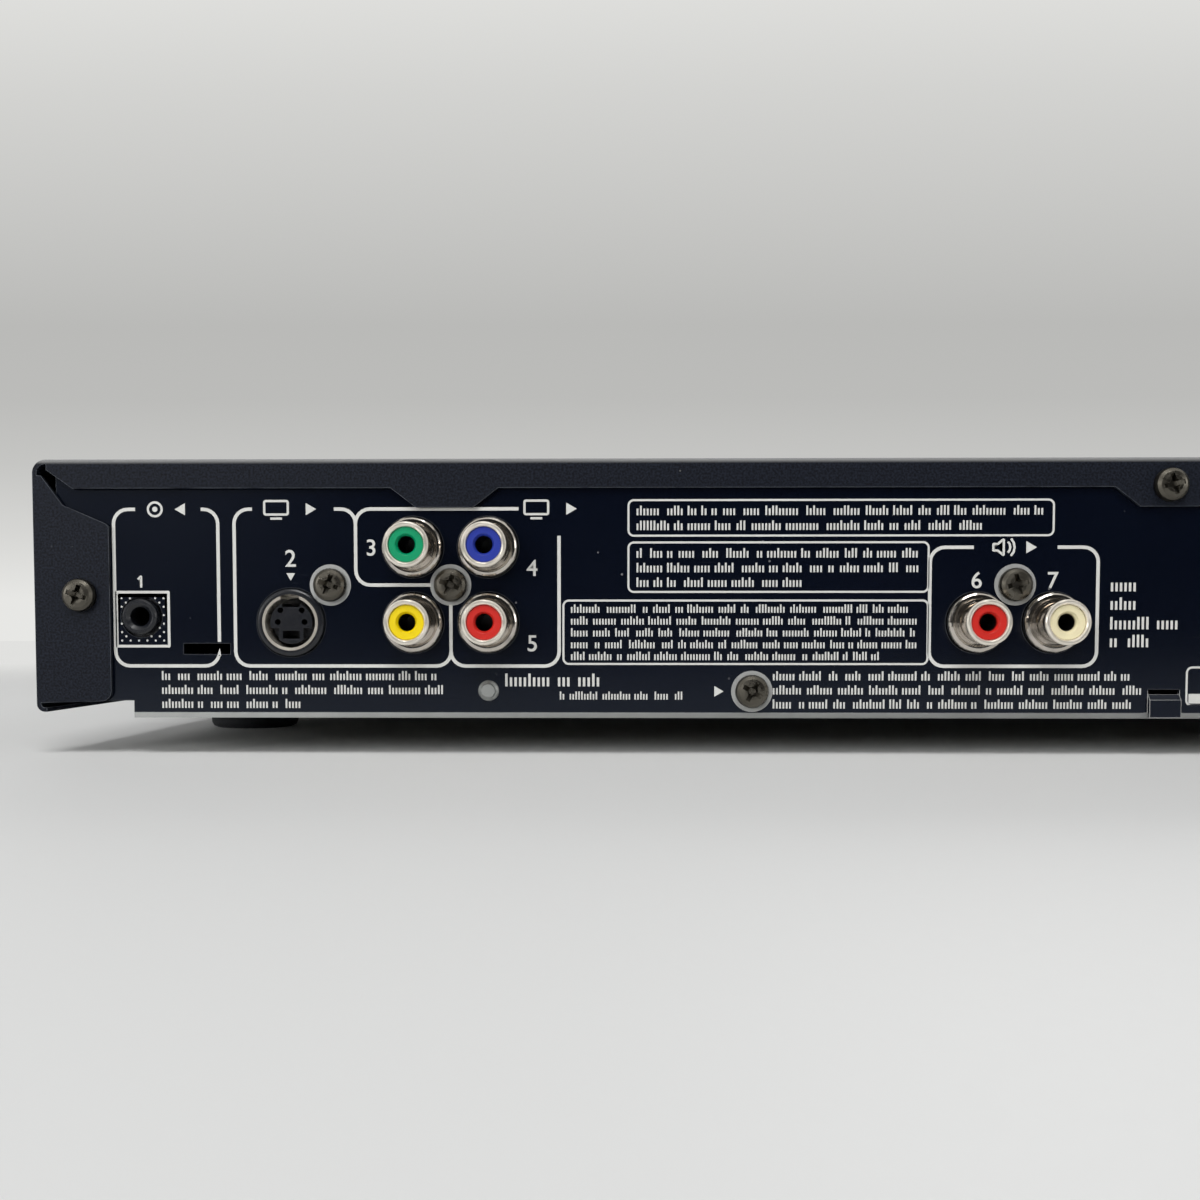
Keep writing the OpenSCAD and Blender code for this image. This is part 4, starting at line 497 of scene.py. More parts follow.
def wound_core(name, colour):
    """A taped winding inside a core of dark laminations, which lie near the piece's outside."""
    s = Shader(name)
    low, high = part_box("transformer")
    middle, half = (low + high) / 2, (high - low) / 2
    leg_width, bar_height = 6.1 * MM, 5.5 * MM
    leg = s.maths("ABSOLUTE", s.axis("X") - middle.x).above(half.x - leg_width, 0.05 * MM)
    bar = s.maths("ABSOLUTE", s.axis("Z") - middle.z).above(half.z - bar_height, 0.05 * MM)
    core = s.maths("MAXIMUM", leg, bar)
    layers = s.noise(700, 1, stretch=(0.2, 0.2, 1))
    winding = s.mix(shade(colour, 0.7), shade(colour, 1.5), layers)
    lamination, varnish = (0.025, 0.026, 0.029), (0.06, 0.062, 0.066)
    return s.finish(
        Base_Color=s.mix(winding, s.mix(lamination, varnish, layers), core),
        Roughness=0.35 + layers * 0.25,
        Normal=s.bump(layers, 0.0001, 0.8, rounded=0.0002),
    )


def lens_in_holder(name, colour):
    """A small polished lens in the middle of its dark holder."""
    s = Shader(name)
    low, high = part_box("objective_lens")
    middle = (low + high) / 2
    lens_radius, holder = 2.5 * MM, (0.020, 0.021, 0.024)
    aside, ahead = s.axis("X") - middle.x, s.axis("Y") - middle.y
    glass = 1 - s.maths("SQRT", aside * aside + ahead * ahead).above(lens_radius, 0.1 * MM)
    fine = s.noise(1800, 2)
    return s.finish(
        Base_Color=s.mix(holder, colour, glass),
        Roughness=0.5 + (fine - 0.5) * 0.1 - glass * 0.45,
        Coat_Weight=glass * 0.6,
        Coat_Roughness=0.03,
    )


def flat_cable(name, colour):
    """White flat cable with a conductor's rib each millimetre."""
    s = Shader(name)
    radians_per_metre = 6283.0
    ribs = s.maths("SINE", s.axis("X") * radians_per_metre) * 0.5 + 0.5
    return s.finish(
        Base_Color=s.mix(shade(colour, 0.86), colour, ribs),
        Roughness=0.42,
        Normal=s.bump(ribs, 0.00008, 0.7),
    )


def screen_ink(name, colour):
    """Matt printing ink, a little uneven."""
    s = Shader(name)
    fine = s.noise(2200, 2)
    worn = s.noise(70, 3)
    return s.finish(
        Base_Color=s.mix(shade(colour, 0.86), shade(colour, 1.06), worn),
        Roughness=0.6 + (fine - 0.5) * 0.2,
        Specular_IOR_Level=0.3,
        Normal=s.bump(fine, 0.000008, 0.6),
    )


CHARCOAL = (0.0085, 0.0105, 0.0165)
PANEL_NAVY = (0.0016, 0.0028, 0.0072)
SOCKET_BLACK = (0.008, 0.009, 0.012)
NICKEL = (0.62, 0.575, 0.52)

# Slot: its finish, main colour and what differs from the finish's usual figures
FINISHES = {
    "cover_paint": (textured_paint, CHARCOAL, {}),
    "panel_paint": (satin_paint, PANEL_NAVY, {}),
    "screw_nickel": (plated, (0.13, 0.12, 0.10), {"rough": 0.28, "pitch": 1500}),
    "zinc_steel": (plated, (0.36, 0.37, 0.36), {"rough": 0.44, "brush": (0.15, 1, 1), "tarnish": 0.12}),
    "foot_rubber": (soft_rubber, (0.008, 0.009, 0.011), {}),
    "front_plastic": (moulded, (0.018, 0.019, 0.022), {"rough": 0.38}),
    "smoked_window": (clear_moulding, (0.0015, 0.002, 0.003), {"gloss": 0.2, "coat": 0.15}),
    "red_lens": (clear_moulding, (0.35, 0.012, 0.01), {"rough": 0.1}),
    "key_plastic": (moulded, (0.062, 0.065, 0.071), {"rough": 0.3}),
    "tray_plastic": (moulded, (0.012, 0.013, 0.015), {"rough": 0.5, "grain": 0.00004}),
    "loader_plastic": (moulded, (0.022, 0.024, 0.027), {"rough": 0.55}),
    "bridge_steel": (plated, (0.52, 0.53, 0.53), {"rough": 0.36, "brush": (1, 0.15, 1), "tarnish": 0.12}),
    "white_plastic": (moulded, (0.70, 0.68, 0.62), {"rough": 0.4}),
    "motor_steel": (plated, (0.52, 0.52, 0.51), {"rough": 0.28}),
    "brass": (plated, (0.62, 0.42, 0.15), {"rough": 0.22}),
    "belt_rubber": (soft_rubber, (0.010, 0.010, 0.011), {}),
    "turntable_plastic": (moulded, (0.03, 0.032, 0.036), {"rough": 0.4}),
    "ground_steel": (plated, (0.66, 0.67, 0.68), {"rough": 0.12, "tarnish": 0.1}),
    "pickup_metal": (plated, (0.07, 0.075, 0.085), {"rough": 0.45}),
    "lens_glass": (lens_in_holder, (0.10, 0.16, 0.26), {}),
    "board_green": (circuit_board, (0.010, 0.072, 0.036), {}),
    "chip_black": (moulded, (0.012, 0.012, 0.013), {"rough": 0.5}),
    "board_brown": (circuit_board, (0.20, 0.11, 0.045), {"parts": (0.014, 0.016, 0.022)}),
    "transformer_core": (wound_core, (0.46, 0.27, 0.035), {}),
    "heatsink_aluminium": (plated, (0.62, 0.63, 0.63), {"rough": 0.3, "brush": (1, 1, 0.15)}),
    "tube_glass": (clear_moulding, (0.05, 0.08, 0.085), {}),
    "ribbon_white": (flat_cable, (0.72, 0.71, 0.66), {}),
    "screw_zinc": (plated, (0.55, 0.55, 0.53), {"rough": 0.25}),
    "socket_black": (moulded, SOCKET_BLACK, {"rough": 0.22, "grain": 0.000008}),
    "socket_nickel": (nickel_sleeve, NICKEL, {}),
    "insert_green": (socket_insert, (0.0, 0.27, 0.115), {}),
    "insert_blue": (socket_insert, (0.018, 0.035, 0.29), {}),
    "insert_red": (socket_insert, (0.52, 0.018, 0.012), {}),
    "insert_yellow": (socket_insert, (0.75, 0.56, 0.0), {}),
    "insert_white": (socket_insert, (0.72, 0.65, 0.42), {}),
    "insert_orange": (socket_insert, (0.70, 0.16, 0.01), {}),
    "screen_ink": (screen_ink, (0.60, 0.60, 0.57), {}),
    "bare_ring": (bare_metal, (0.36, 0.365, 0.355), {}),
}


def finish_for(slot):
    """The material of one slot, made once."""
    name = "finish_" + slot
    make, colour, extra = FINISHES[slot]
    return bpy.data.materials.get(name) or make(name, colour, **extra)


# ------ flat printing

PRINT_PROUD = 0.4  # middle of the printing over the face, as a share of its thickness
SIZE_OF_FIGURE = 1.42  # text size for figures of height 1
BOLDNESS = 0.012  # swelling of the figures' strokes, as a share of their height


def rounded_path(corners, radius, closed=False, steps=6):
    """The corners as points, each inner one turned into an arc."""
    points = [Vector(c) for c in corners]
    count = len(points)
    path = []
    for i, corner in enumerate(points):
        if not closed and i in (0, count - 1):
            path.append(corner)
            continue
        back = (points[i - 1] - corner).normalized()
        ahead = (points[(i + 1) % count] - corner).normalized()
        half = back.angle(ahead) / 2
        centre = corner + (back + ahead).normalized() * radius / math.sin(half)
        start = corner + back * radius / math.tan(half) - centre
        sweep = (math.pi - 2 * half) * (1 if back.x * ahead.y - back.y * ahead.x < 0 else -1)
        for k in range(steps + 1):
            turn = Matrix.Rotation(sweep * k / steps, 2)
            path.append(centre + turn @ start)
    return [p for i, p in enumerate(path) if i == 0 or (p - path[i - 1]).length > 1e-6]


class Printing:
    """Flat shapes on an upright face, drawn as filled curves and raised a little.

    Shapes of one layer never touch. Each further layer is a shade thicker, so it may cross the last.
    """

    def __init__(self, y, facing, thickness):
        self.y = y
        self.facing = facing
        self.thickness = thickness
        self.layers = [[]]

    def shape(self, points, layer=0):
        """Adds one closed outline; an outline inside another is a hole in it."""
        while len(self.layers) <= layer:
            self.layers.append([])
        self.layers[layer].append([(-self.facing * p[0], p[1]) for p in points])

    def bar(self, x, z, width, height):
        """A filled rectangle about its middle."""
        w, h = width / 2, height / 2
        self.shape([(x - w, z - h), (x + w, z - h), (x + w, z + h), (x - w, z + h)])

    def disc(self, x, z, radius, steps=12, turn=0.0):
        """A filled disc, or with few steps a polygon with its first corner at the turn."""
        turns = [turn + 2 * math.pi * i / steps for i in range(steps)]
        self.shape([(x + radius * math.cos(a), z + radius * math.sin(a)) for a in turns])

    def ring(self, x, z, outer, inner, steps=40):
        self.disc(x, z, outer, steps)
        self.disc(x, z, inner, steps)

    def stroke(self, path, width, closed=False, layer=0):
        """A line of even width along a path."""
        left, right = [], []
        mitre_limit = 0.5
        count = len(path)
        for i, point in enumerate(path):
            before = path[i - 1] if closed or i else None
            after = path[(i + 1) % count] if closed or i < count - 1 else None
            into = (point - before).normalized() if before else (after - point).normalized()
            out = (after - point).normalized() if after else into
            across = Vector((-into.y - out.y, into.x + out.x)).normalized()
            reach = width / 2 / max(mitre_limit, across.dot(Vector((-into.y, into.x))))
            left.append(point + across * reach)
            right.append(point - across * reach)
        if closed:
            self.shape(left, layer)
            self.shape(right, layer)
        else:
            self.shape(left + right[::-1], layer)

    def _layer(self, name, loops, thickness):
        """One layer's outlines as a filled mesh, with its back a little inside the face that carries it."""
        drawing = bpy.data.curves.new(name, "CURVE")
        drawing.dimensions = "2D"
        drawing.fill_mode = "BOTH"
        drawing.extrude = thickness / 2
        for loop in loops:
            spline = drawing.splines.new("POLY")
            spline.points.add(len(loop) - 1)
            spline.use_cyclic_u = True
            for point, (x, z) in zip(spline.points, loop):
                point.co = (x, z, 0, 1)
        piece = bpy.data.objects.new(name, drawing)
        bpy.context.scene.collection.objects.link(piece)
        turn = Matrix(((-self.facing, 0, 0), (0, 0, self.facing), (0, 1, 0))).to_4x4()
        proud = self.facing * thickness * PRINT_PROUD
        piece.matrix_world = Matrix.Translation((0, self.y + proud, 0)) @ turn
        return meshed(piece)

    def piece(self, name, slot, body, finish=None):
        """Raises the shapes into one thin piece that rides on a body."""
        made, thicker = [], 0.15
        for i, loops in enumerate(self.layers):
            made.append(self._layer(name, loops, self.thickness * (1 + thicker * i)))
        dress(joined(made, name), slot, body, finish)


def meshed(piece):
    """Makes a flat curve or a text a clean mesh, with its place in the mesh."""
    only(piece)
    bpy.ops.object.convert(target="MESH")
    bpy.ops.object.transform_apply(location=True, rotation=True, scale=True)
    bpy.ops.object.mode_set(mode="EDIT")
    bpy.ops.mesh.select_all(action="SELECT")
    bpy.ops.mesh.remove_doubles(threshold=1e-6)
    bpy.ops.mesh.normals_make_consistent(inside=False)
    bpy.ops.object.mode_set(mode="OBJECT")
    return piece


def joined(pieces, name):
    """Joins pieces into the first of them and names it."""
    first = pieces[0]
    only(first)
    for piece in pieces:
        piece.select_set(True)
    if len(pieces) > 1:
        bpy.ops.object.join()
    first.name = first.data.name = name
    return first


def only(piece):
    """Selects one piece and makes it active."""
    bpy.ops.object.select_all(action="DESELECT")
    piece.select_set(True)
    bpy.context.view_layer.objects.active = piece


def dress(piece, slot, body, finish=None):
    """Gives a piece its finish, its slot and the body that it rides on."""
    piece.data.materials.clear()
    piece.data.materials.append(finish_for(finish or slot))
    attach(piece, body)


def figures(items, name, thickness):
    """Plain figures on the rear panel as one thin piece; items hold a text, its middle and its height."""
    facing_back = (math.pi / 2, 0, math.pi)
    made = []
    for text, x, z, height in items:
        place = (x, PANEL_Y + thickness * PRINT_PROUD, z - height / 2)
        bpy.ops.object.text_add(location=place, rotation=facing_back)
        label = bpy.context.object
        label.data.body = text
        label.data.align_x = "CENTER"
        label.data.size = height * SIZE_OF_FIGURE
        label.data.extrude = thickness / 2
        label.data.offset = height * BOLDNESS
        made.append(meshed(label))
    dress(joined(made, name), "screen_ink", "case")


# ------ operators


class PLAYER_OT_finishes(bpy.types.Operator):
    """Give every part its finish"""

    bl_idname = "player.finishes"
    bl_label = "Finishes"

    def execute(self, context):
        for row in frame["record"]["subparts"]:
            materials = frame["nodes"][row["node"]].data.materials
            materials.clear()
            materials.append(finish_for(row["material_slot"]))
        return {"FINISHED"}


class PLAYER_OT_socket_frames(bpy.types.Operator):
    """Print the frames round the groups of sockets"""

    bl_idname = "player.socket_frames"
    bl_label = "Socket frames"

    def execute(self, context):
        p = context.scene.player_print
        sheet = Printing(PANEL_Y, 1, p.thickness)
        low, high = FRAME_FOOT_Z, FRAME_TOP_Z

        def line(*corners, layer=0):
            sheet.stroke(rounded_path(corners, p.corner), p.line, layer=layer)

        # Round the control socket, broken at the heading and at the slot hole
        left, right = CONTROL.x + 5.0 * MM, CONTROL.x - 14.55 * MM
        slot_top, slot_low = JACK_Z - 3.6 * MM, JACK_Z - 6.2 * MM
        line((CONTROL.x - 11.4 * MM, high), (right, high), (right, slot_top))
        line((right, slot_low), (right, low), (left, low), (left, high), (CONTROL.x + 0.9 * MM, high))

        # Round the video socket and the four sockets beside it, broken at the screw between them
        mid_x, mid_z, reach = FOUR_SCREW_X, SCREW_Z, 3.7 * MM
        seam = GREEN.x + 10.7 * MM
        edge = VIDEO.x + 10.5 * MM
        end = BLUE.x - 13.2 * MM
        line((VIDEO.x + 7.1 * MM, high), (edge, high), (edge, low), (mid_x, low), (mid_x, low + p.corner))
        line((VIDEO.x - 8.2 * MM, high), (seam, high), (seam, high - p.corner))
        line((end + 7.5 * MM, high), (seam, high), (seam, mid_z), (mid_x + reach, mid_z), layer=1)
        line((mid_x, mid_z - reach), (mid_x, low), (end, low), (end, high - 5 * MM), layer=1)

        def hoop(left, right, top, from_x, to_x):
            """A frame that is open at the top, from one end of its heading round to the other."""
            line((from_x, top), (left, top), (left, low), (right, low), (right, top), (to_x, top))

        hoop(RED.x + 8.7 * MM, WHITE.x - 8.2 * MM, AUDIO_TOP_Z, RED.x + 0.7 * MM, WHITE.x - 0.7 * MM)
        hoop(ORANGE.x + 10 * MM, ORANGE.x - 10 * MM, high, ORANGE.x + 5 * MM, ORANGE.x - 5 * MM)

        wide, tall = 19 * MM, 10.5 * MM
        box = [(MAINS.x + i * wide, MAINS.z + j * tall) for i, j in ((1, 1), (1, -1), (-1, -1), (-1, 1))]
        sheet.stroke(rounded_path(box, p.corner, closed=True), p.line, closed=True)
        sheet.piece("socket_frames", "screen_ink", "case")
        return {"FINISHED"}


# Blocks of rules in millimetres: a box (low x, high x, low z, high z) or None, then the rules in it
# (low x, high x, top, number of lines, pitch, height of the strokes, share of the last line)
BLOCKS = (
    ((20.8, 99.2, 40.9, 47.45), (22.3, 97.7, 45.55, 2, 2.75, 1.75, 0.86)),
    ((43.7, 99.2, 30.5, 39.65), (45.2, 97.7, 37.7, 3, 2.7, 1.75, 0.6)),
    ((43.7, 111.3, 17.1, 28.9), (45.2, 109.9, 27.4, 5, 2.2, 1.55, 0.9)),
    (None, (133.3, 186.7, 14.9, 3, 2.62, 1.7, 0.5)),
    (None, (3.7, 72.3, 14.9, 3, 2.62, 1.7, 1.0)),
    (None, (104.0, 122.2, 14.1, 1, 2.3, 2.4, 1.0)),
    (None, (86.4, 112.0, 11.2, 1, 2.4, 1.5, 1.0)),
)

# Short rules beside the audio sockets, from one high x: height over the underside, and length
SHORT_RULES_X = 10.1
SHORT_RULES = ((24.7, 5.8), (21.3, 6.8), (17.7, 13.2), (14.4, 8.1))


class PLAYER_OT_fine_boxes(bpy.types.Operator):
    """Print the fine boxes with plain rules in place of words"""

    bl_idname = "player.fine_boxes"
    bl_label = "Fine boxes and rules"

    def execute(self, context):
        p = context.scene.player_print
        sheet = Printing(PANEL_Y, 1, p.thickness)
        draw = random.Random(7)

        def box(x0, x1, z0, z1):
            corners, radius = [(x0, z0), (x1, z0), (x1, z1), (x0, z1)], 1.0 * MM
            sheet.stroke(rounded_path(corners, radius, closed=True), p.fine_line, closed=True)

        def rules(x0, x1, z_top, lines, pitch, height, last):
            """Rows of upright strokes in groups, each row from high x to low x."""
            step, width = height * 0.36, height * 0.19
            fewest, most = 2, 10
            heights, gaps = (0.7, 0.7, 0.7, 1.0), (1.0, 1.4, 2.0)
            for row in range(lines):
                end = x0 if row < lines - 1 else x1 - (x1 - x0) * last
                foot = z_top - row * pitch - height / 2
                x = x1
                while x - end > 3 * step:
                    for _ in range(min(draw.randint(fewest, most), int((x - end) / step))):
                        tall = height * draw.choice(heights)
                        sheet.bar(x - width / 2, foot + tall / 2, width, tall)
                        x -= step
                    x -= step * draw.choice(gaps)

        for corners, (x0, x1, z_top, lines, pitch, height, last) in BLOCKS:
            if corners:
                box(*(c * MM for c in corners))
            rules(x0 * MM, x1 * MM, z_top * MM, lines, pitch * MM, height * MM, last)
        for up, length in SHORT_RULES:
            low_x, high_x = (SHORT_RULES_X - length) * MM, SHORT_RULES_X * MM
            rules(low_x, high_x, UNDER_Z + up * MM, lines=1, pitch=0, height=2.3 * MM, last=1.0)

        # Empty box with a solid foot
        box(-30.0 * MM, -4.2 * MM, 9.4 * MM, 16.5 * MM)
        sheet.bar(-17.1 * MM, 10.6 * MM, 25.0 * MM, 2.0 * MM)
        sheet.piece("fine_print", "screen_ink", "case")
        return {"FINISHED"}


class PLAYER_OT_socket_marks(bpy.types.Operator):
    """Print figures, arrows, picture signs and the dotted box"""

    bl_idname = "player.socket_marks"
    bl_label = "Socket marks"

    def execute(self, context):
        p = context.scene.player_print
        sheet = Printing(PANEL_Y, 1, p.thickness)
        thin, high = 0.42 * MM, FRAME_TOP_Z
        to_left, to_right, down = 0, math.pi, -math.pi / 2

        def sign(path, x, z, closed=True, radius=0.3 * MM):
            """A line drawing in millimetres about a place."""
            placed = [(x + a * MM, z + b * MM) for a, b in path]
            sheet.stroke(rounded_path(placed, radius, closed=closed, steps=3), thin, closed=closed)

        def arrow(x, z, way, size=1.3 * MM):
            sheet.disc(x, z, size, 3, way)

        def screen(x, z):
            sign([(-2.2, -1.0), (2.2, -1.0), (2.2, 1.5), (-2.2, 1.5)], x, z)
            sign([(-1.1, -1.75), (1.1, -1.75)], x, z, closed=False)

        def speaker(x, z):
            horn = [(1.5, -0.6), (0.7, -0.6), (-0.4, -1.5), (-0.4, 1.5), (0.7, 0.6), (1.5, 0.6)]
            sign(horn, x, z, radius=0.1 * MM)
            for reach in (1.4, 2.2):
                arc = [(-0.2 - reach * math.cos(a), reach * math.sin(a)) for a in (-0.8, -0.4, 0, 0.4, 0.8)]
                sign(arc, x, z, closed=False)

        screen(VIDEO.x + 2.6 * MM, high)
        arrow(VIDEO.x - 3.6 * MM, high, to_right)
        screen(BLUE.x - 9.0 * MM, high)
        arrow(BLUE.x - 15.2 * MM, high, to_right)
        speaker(WHITE.x + 9.6 * MM, AUDIO_TOP_Z)
        arrow(WHITE.x + 4.4 * MM, AUDIO_TOP_Z, to_right)
        speaker(ORANGE.x + 1.6 * MM, high)
        arrow(ORANGE.x - 3.2 * MM, high, to_right)
        heading = CONTROL.x - 5.2 * MM
        sheet.ring(heading + 2.4 * MM, high, 1.5 * MM, 1.08 * MM, 24)
        sheet.disc(heading + 2.4 * MM, high, 0.5 * MM)
        arrow(heading - 2.6 * MM, high, to_left)
        figure_one = [(0.62, 0.45), (0, 1.05), (0, -1.05)]
        sign(figure_one, CONTROL.x, CONTROL.z + 6.5 * MM, closed=False, radius=0.05 * MM)
        arrow(VIDEO.x, JACK_Z + 8.75 * MM, down, 0.95 * MM)
        arrow(FOOT_SCREWS_X[0] + 6.4 * MM, FOOT_SCREW_Z, to_right, 1.15 * MM)

        # Square box with staggered dots round the control socket's barrel
        x0, x1 = CONTROL.x - 5.1 * MM, CONTROL.x + 4.7 * MM
        z0, z1 = CONTROL.z - 5.5 * MM, CONTROL.z + 4.6 * MM
        box = rounded_path([(x0, z0), (x1, z0), (x1, z1), (x0, z1)], 0.05 * MM, closed=True, steps=1)
        sheet.stroke(box, 0.5 * MM, closed=True)
        pitch, barrel, margin = 0.79 * MM, 3.95 * MM, 0.6 * MM
        for i in range(11):
            for j in range(11):
                x, z = x0 + 0.95 * MM + i * pitch, z0 + 1.05 * MM + j * pitch
                outside = math.hypot(x - CONTROL.x, z - CONTROL.z) > barrel
                if (i + j) % 2 == 0 and outside and x < x1 - margin and z < z1 - margin:
                    sheet.disc(x, z, 0.2 * MM, 8)
        sheet.piece("socket_marks", "screen_ink", "case")

        beneath, over = -3.8 * MM, 7.9 * MM
        rows = [
            ("2", VIDEO.x, JACK_Z + 12.0 * MM, p.figure * 1.05),
            ("3", GREEN.x + 7.8 * MM, GREEN.z, p.figure),
            ("4", BLUE.x - 8.2 * MM, BLUE.z + beneath, p.figure),
            ("5", BLUE.x - 8.2 * MM, JACK_Z + beneath, p.figure),
            ("6", RED.x + 0.1 * MM, JACK_Z + over, p.figure),
            ("7", WHITE.x + 0.1 * MM, JACK_Z + over, p.figure),
            ("8", ORANGE.x + 6.6 * MM, JACK_Z + 3 * MM, p.figure),
            ("9", MAINS.x - 14 * MM, MAINS.z + 6.2 * MM, p.figure * 0.8),
        ]
        figures(rows, "socket_figures", p.thickness)
        return {"FINISHED"}


class PLAYER_OT_bare_rings(bpy.types.Operator):
    """Leave bare metal round the screws that earth the panel"""

    bl_idname = "player.bare_rings"
    bl_label = "Bare rings"

    def execute(self, context):
        p = context.scene.player_print
        screws = [(x, SCREW_Z) for x in SCREWS_X] + [(x, FOOT_SCREW_Z) for x in FOOT_SCREWS_X]
        outer, hole = 3.85 * MM, 1.7 * MM
        sheet = Printing(PANEL_Y, 1, p.thickness)
        for x, z in screws:
            sheet.ring(x, z, outer, hole)
        sheet.piece("bare_rings", "zinc_steel", "case", finish="bare_ring")
        return {"FINISHED"}


class PLAYER_OT_key_signs(bpy.types.Operator):
    """Print the plain signs on the keys"""

    bl_idname = "player.key_signs"
    bl_label = "Key signs"

    def execute(self, context):
        p = context.scene.player_print

        def sheet_on(node, dish=0.0):
            """Printing on a key's face; on a dished key it starts inside the dish and fills its depth."""
            low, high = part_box(node)
            fill = 0.26
            sheet = Printing(low.y + dish, -1, max(p.thickness, dish * fill))
            return sheet, (low.x + high.x) / 2, (low.z + high.z) / 2

        def done(sheet, node):
            sheet.piece(node.replace("_button", "_sign"), "screen_ink", node)

        def wedge(sheet, x, z, size, way):
            """A triangle that points to +x or -x."""
            back, tip, half = x - way * size * 0.5, x + way * size * 0.6, size * 0.6
            sheet.shape([(back, z - half), (tip, z), (back, z + half)])

        dish = 0.6 * MM
        sheet, x, z = sheet_on("play_button", dish)
        wedge(sheet, x, z, 4.2 * MM, 1)
        done(sheet, "play_button")

        sheet, x, z = sheet_on("pause_button")
        for side in (-0.8, 0.8):
            sheet.bar(x + side * MM, z, 0.75 * MM, 2.6 * MM)
        done(sheet, "pause_button")

        sheet, x, z = sheet_on("stop_button")
        sheet.bar(x, z, 2.4 * MM, 2.4 * MM)
        done(sheet, "stop_button")

        for node, way in (("skip_back_button", -1), ("skip_forward_button", 1)):
            sheet, x, z = sheet_on(node)
            wedge(sheet, x - way * 0.9 * MM, z, 2.1 * MM, way)
            wedge(sheet, x + way * 1.4 * MM, z, 2.1 * MM, way)
            sheet.bar(x + way * 3.0 * MM, z, 0.45 * MM, 2.5 * MM)
            done(sheet, node)

        sheet, x, z = sheet_on("open_close_button")
        sheet.shape([(x - 1.6 * MM, z - 0.2 * MM), (x + 1.6 * MM, z - 0.2 * MM), (x, z + 1.5 * MM)])
        sheet.bar(x, z - 1.1 * MM, 3.2 * MM, 0.6 * MM)
        done(sheet, "open_close_button")

        sheet, x, z = sheet_on("power_button", dish)
        radius, width = 2.1 * MM, 0.45 * MM
        turns = [math.radians(125 + 290 * i / 20) for i in range(21)]
        sheet.stroke([Vector((x + radius * math.cos(a), z + radius * math.sin(a))) for a in turns], width)
        sheet.bar(x, z + 1.6 * MM, width, 1.9 * MM)
        done(sheet, "power_button")
        return {"FINISHED"}


# Lamps: name, place, target, size, and the setting that holds the power
LAMPS = (
    ("lamp_overhead", (0.1, 1.2, 1.5), (0.08, 0.12, 0.03), 0.9, "over_power"),
    ("lamp_key", (1.46, 2.08, 0.75), (0.1, 0.13, 0.03), 0.8, "key_power"),
    ("lamp_front", (-0.5, -1.2, 0.7), (0, -0.1, 0.03), 0.7, "front_power"),
    ("lamp_low_left", (1.35, 0.8, 0.3), (0.1, 0.13, 0.03), 0.4, "low_power"),
    ("lamp_low_right", (-1.2, 0.9, 0.3), (0.1, 0.13, 0.03), 0.4, "low_power"),
)

# Greys of the glowing backdrop, by height as a share of WALL_TOP; the change with height is painted light
WALL_TOP = 1.3
WALL_GREYS = (
    *((0.0, 0.80), (0.06, 0.80), (0.155, 0.67), (0.25, 0.56), (0.34, 0.50), (0.44, 0.49)),
    *((0.62, 0.58), (0.76, 0.65), (0.92, FAR_GREY[0])),
)


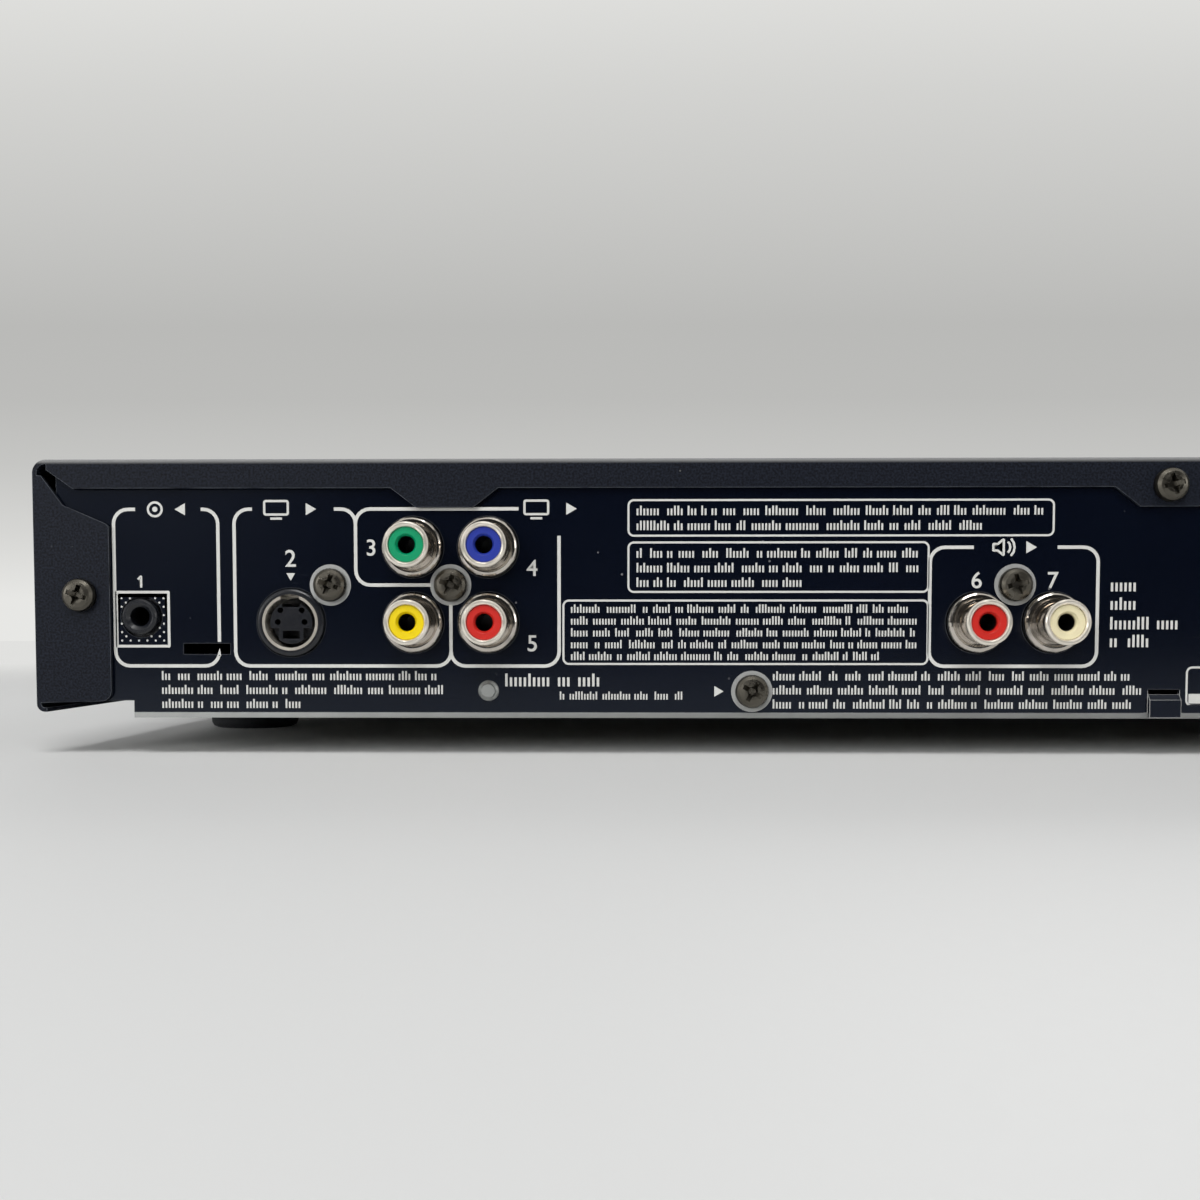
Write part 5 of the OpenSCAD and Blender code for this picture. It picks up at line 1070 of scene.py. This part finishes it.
class PLAYER_OT_studio(bpy.types.Operator):
    """Set up the floor, the backdrop, the lamps and the camera"""

    bl_idname = "player.studio"
    bl_label = "Studio"

    def execute(self, context):
        s = context.scene.player_stage
        scene = context.scene
        scene.view_settings.view_transform = "Standard"

        bpy.ops.object.select_all(action="DESELECT")
        spread, sunk = 8, 0.01
        bpy.ops.mesh.primitive_plane_add(size=spread, location=(0, 0, 0))
        floor = context.object
        floor.name = "floor"
        floor.data.materials.append(self.floor_finish(tuple(s.floor_colour)))

        # Backdrop beyond the front, with its foot a little below the floor
        middle = (0, -1.85, spread / 2 - sunk)
        bpy.ops.mesh.primitive_plane_add(size=spread, location=middle, rotation=(-math.pi / 2, 0, 0))
        wall = context.object
        wall.name = "backdrop"
        bpy.ops.object.transform_apply(location=True, rotation=True, scale=True)
        wall.data.materials.append(self.wall_finish())
        wall.visible_shadow = wall.visible_diffuse = False

        # Dark card behind the camera, which only reflections see
        bpy.ops.mesh.primitive_plane_add(size=1, location=(0.1, 0.5, 0.29), rotation=(math.pi / 2, 0, 0))
        card = context.object
        card.name = "dark_card"
        card.scale = (1.1, 0.58, 1)
        bpy.ops.object.transform_apply(location=True, rotation=True, scale=True)
        card.data.materials.append(self.card_finish())
        card.visible_camera = card.visible_shadow = card.visible_diffuse = False

        for name, place, target, size, power in LAMPS:
            self.lamp(name, place, target, size, getattr(s, power))
        self.world(scene)
        self.camera(scene, s)
        return {"FINISHED"}

    def lamp(self, name, place, target, size, power):
        """A square soft lamp that faces its target."""
        data = bpy.data.lights.new(name, "AREA")
        data.shape = "SQUARE"
        data.size = size
        data.energy = power
        lamp = bpy.data.objects.new(name, data)
        lamp.location = place
        lamp.rotation_euler = (Vector(target) - Vector(place)).to_track_quat("-Z", "Y").to_euler()
        bpy.context.scene.collection.objects.link(lamp)

    def floor_finish(self, colour):
        """A pale floor that turns into the far grey away from the player."""
        s = Shader("pale_floor")
        fine = s.noise(500, 2)
        broad = s.noise(6, 2)
        distance = s.node("ShaderNodeVectorMath", {"operation": "LENGTH"}, output="Value", Vector=s.place)
        far = s.node("ShaderNodeEmission", Color=FAR_GREY, Strength=1.0)
        away = distance.above(0.5, 0.2) * s.seen()
        self.one_sided(s, s.mix_shaders(s.surface.outputs[0], far.socket, away))
        return s.finish(
            Base_Color=s.mix(shade(colour, 0.98), shade(colour, 1.02), broad),
            Roughness=0.6 + (fine - 0.5) * 0.1,
            Specular_IOR_Level=0.3,
            Normal=s.bump(fine, 0.00002, 0.4),
        )

    def card_finish(self):
        """Matt black card."""
        s = Shader("dark_card")
        black, grey = (0.004, 0.004, 0.004), (0.008, 0.008, 0.008)
        return s.finish(Base_Color=s.mix(black, grey, s.noise(40, 2)), Roughness=0.9)

    def one_sided(self, s, front):
        """Shows a surface from its front only, so that it never stands in the way of another view."""
        behind = s.node("ShaderNodeNewGeometry", output="Backfacing")
        clear = s.node("ShaderNodeBsdfTransparent")
        s.tree.links.new(s.mix_shaders(front, clear.socket, behind), s.output.inputs[0])

    def wall_finish(self):
        """A glowing backdrop whose grey changes with height as painted light, and turns into the far grey at
        both sides.
        """
        s = Shader("pale_backdrop")
        away = s.maths("ABSOLUTE", s.axis("X") - 0.1).above(2.2, 0.8)
        warmth = 0.975
        stops = [(at, (grey, grey, grey * warmth)) for at, grey in WALL_GREYS]
        colour = s.node("ShaderNodeValToRGB", {"stops": stops}, Fac=s.axis("Z") / WALL_TOP)
        glow = s.node("ShaderNodeEmission", Color=s.mix(colour, FAR_GREY, away), Strength=1.0)
        self.one_sided(s, glow.socket)
        return s.material

    def world(self, scene):
        """A dim sky that lights the object, and the far grey where the sky itself is seen."""
        world = bpy.data.worlds.new("studio_world")
        scene.world = world
        world.use_nodes = True
        t = NodeMaths(world.node_tree)
        sky = t.tree.nodes["Background"].outputs[0]
        sky.node.inputs["Color"].default_value = (*SKY_GREY, 1)
        far = t.node("ShaderNodeBackground", Color=FAR_GREY)
        t.tree.links.new(t.mix_shaders(sky, far.socket, t.seen()), t.tree.nodes["World Output"].inputs[0])

    def camera(self, scene, s):
        """A camera that looks level at the rear panel before its yaw and pitch."""
        data = bpy.data.cameras.new("camera")
        data.lens = s.lens
        data.shift_y = s.shift
        data.clip_start = 0.01
        data.clip_end = 20
        camera = bpy.data.objects.new("camera", data)
        scene.collection.objects.link(camera)
        facing = Matrix(((-1, 0, 0), (0, 0, 1), (0, 1, 0))).to_4x4()
        yaw = Matrix.Rotation(s.camera_yaw, 4, "Z")
        pitch = Matrix.Rotation(s.camera_pitch, 4, yaw @ Vector((-1, 0, 0)))
        camera.matrix_world = Matrix.Translation(Vector(s.camera_place)) @ pitch @ yaw @ facing
        scene.camera = camera


class PLAYER_PT_sidebar(bpy.types.Panel):
    """Lists the steps and their settings"""

    bl_label = "Disc Player"
    bl_space_type = "VIEW_3D"
    bl_region_type = "UI"
    bl_category = "Disc Player"

    def draw(self, context):
        for step in STEPS:
            self.layout.operator("player." + step)
        for group in (context.scene.player_stage, context.scene.player_print):
            for name in group.__annotations__:
                self.layout.prop(group, name)


STEPS = ("studio", "finishes", "socket_frames", "fine_boxes", "socket_marks", "bare_rings", "key_signs")
CLASSES = (
    StageSettings,
    PrintSettings,
    PLAYER_OT_finishes,
    PLAYER_OT_socket_frames,
    PLAYER_OT_fine_boxes,
    PLAYER_OT_socket_marks,
    PLAYER_OT_bare_rings,
    PLAYER_OT_key_signs,
    PLAYER_OT_studio,
    PLAYER_PT_sidebar,
)


def register():
    for cls in CLASSES:
        bpy.utils.register_class(cls)
    bpy.types.Scene.player_stage = bpy.props.PointerProperty(type=StageSettings)
    bpy.types.Scene.player_print = bpy.props.PointerProperty(type=PrintSettings)


def unregister():
    del bpy.types.Scene.player_print
    del bpy.types.Scene.player_stage
    for cls in reversed(CLASSES):
        bpy.utils.unregister_class(cls)


def main():
    register()
    for step in STEPS:
        getattr(bpy.ops.player, step)()


if __name__ == "__main__":
    main()
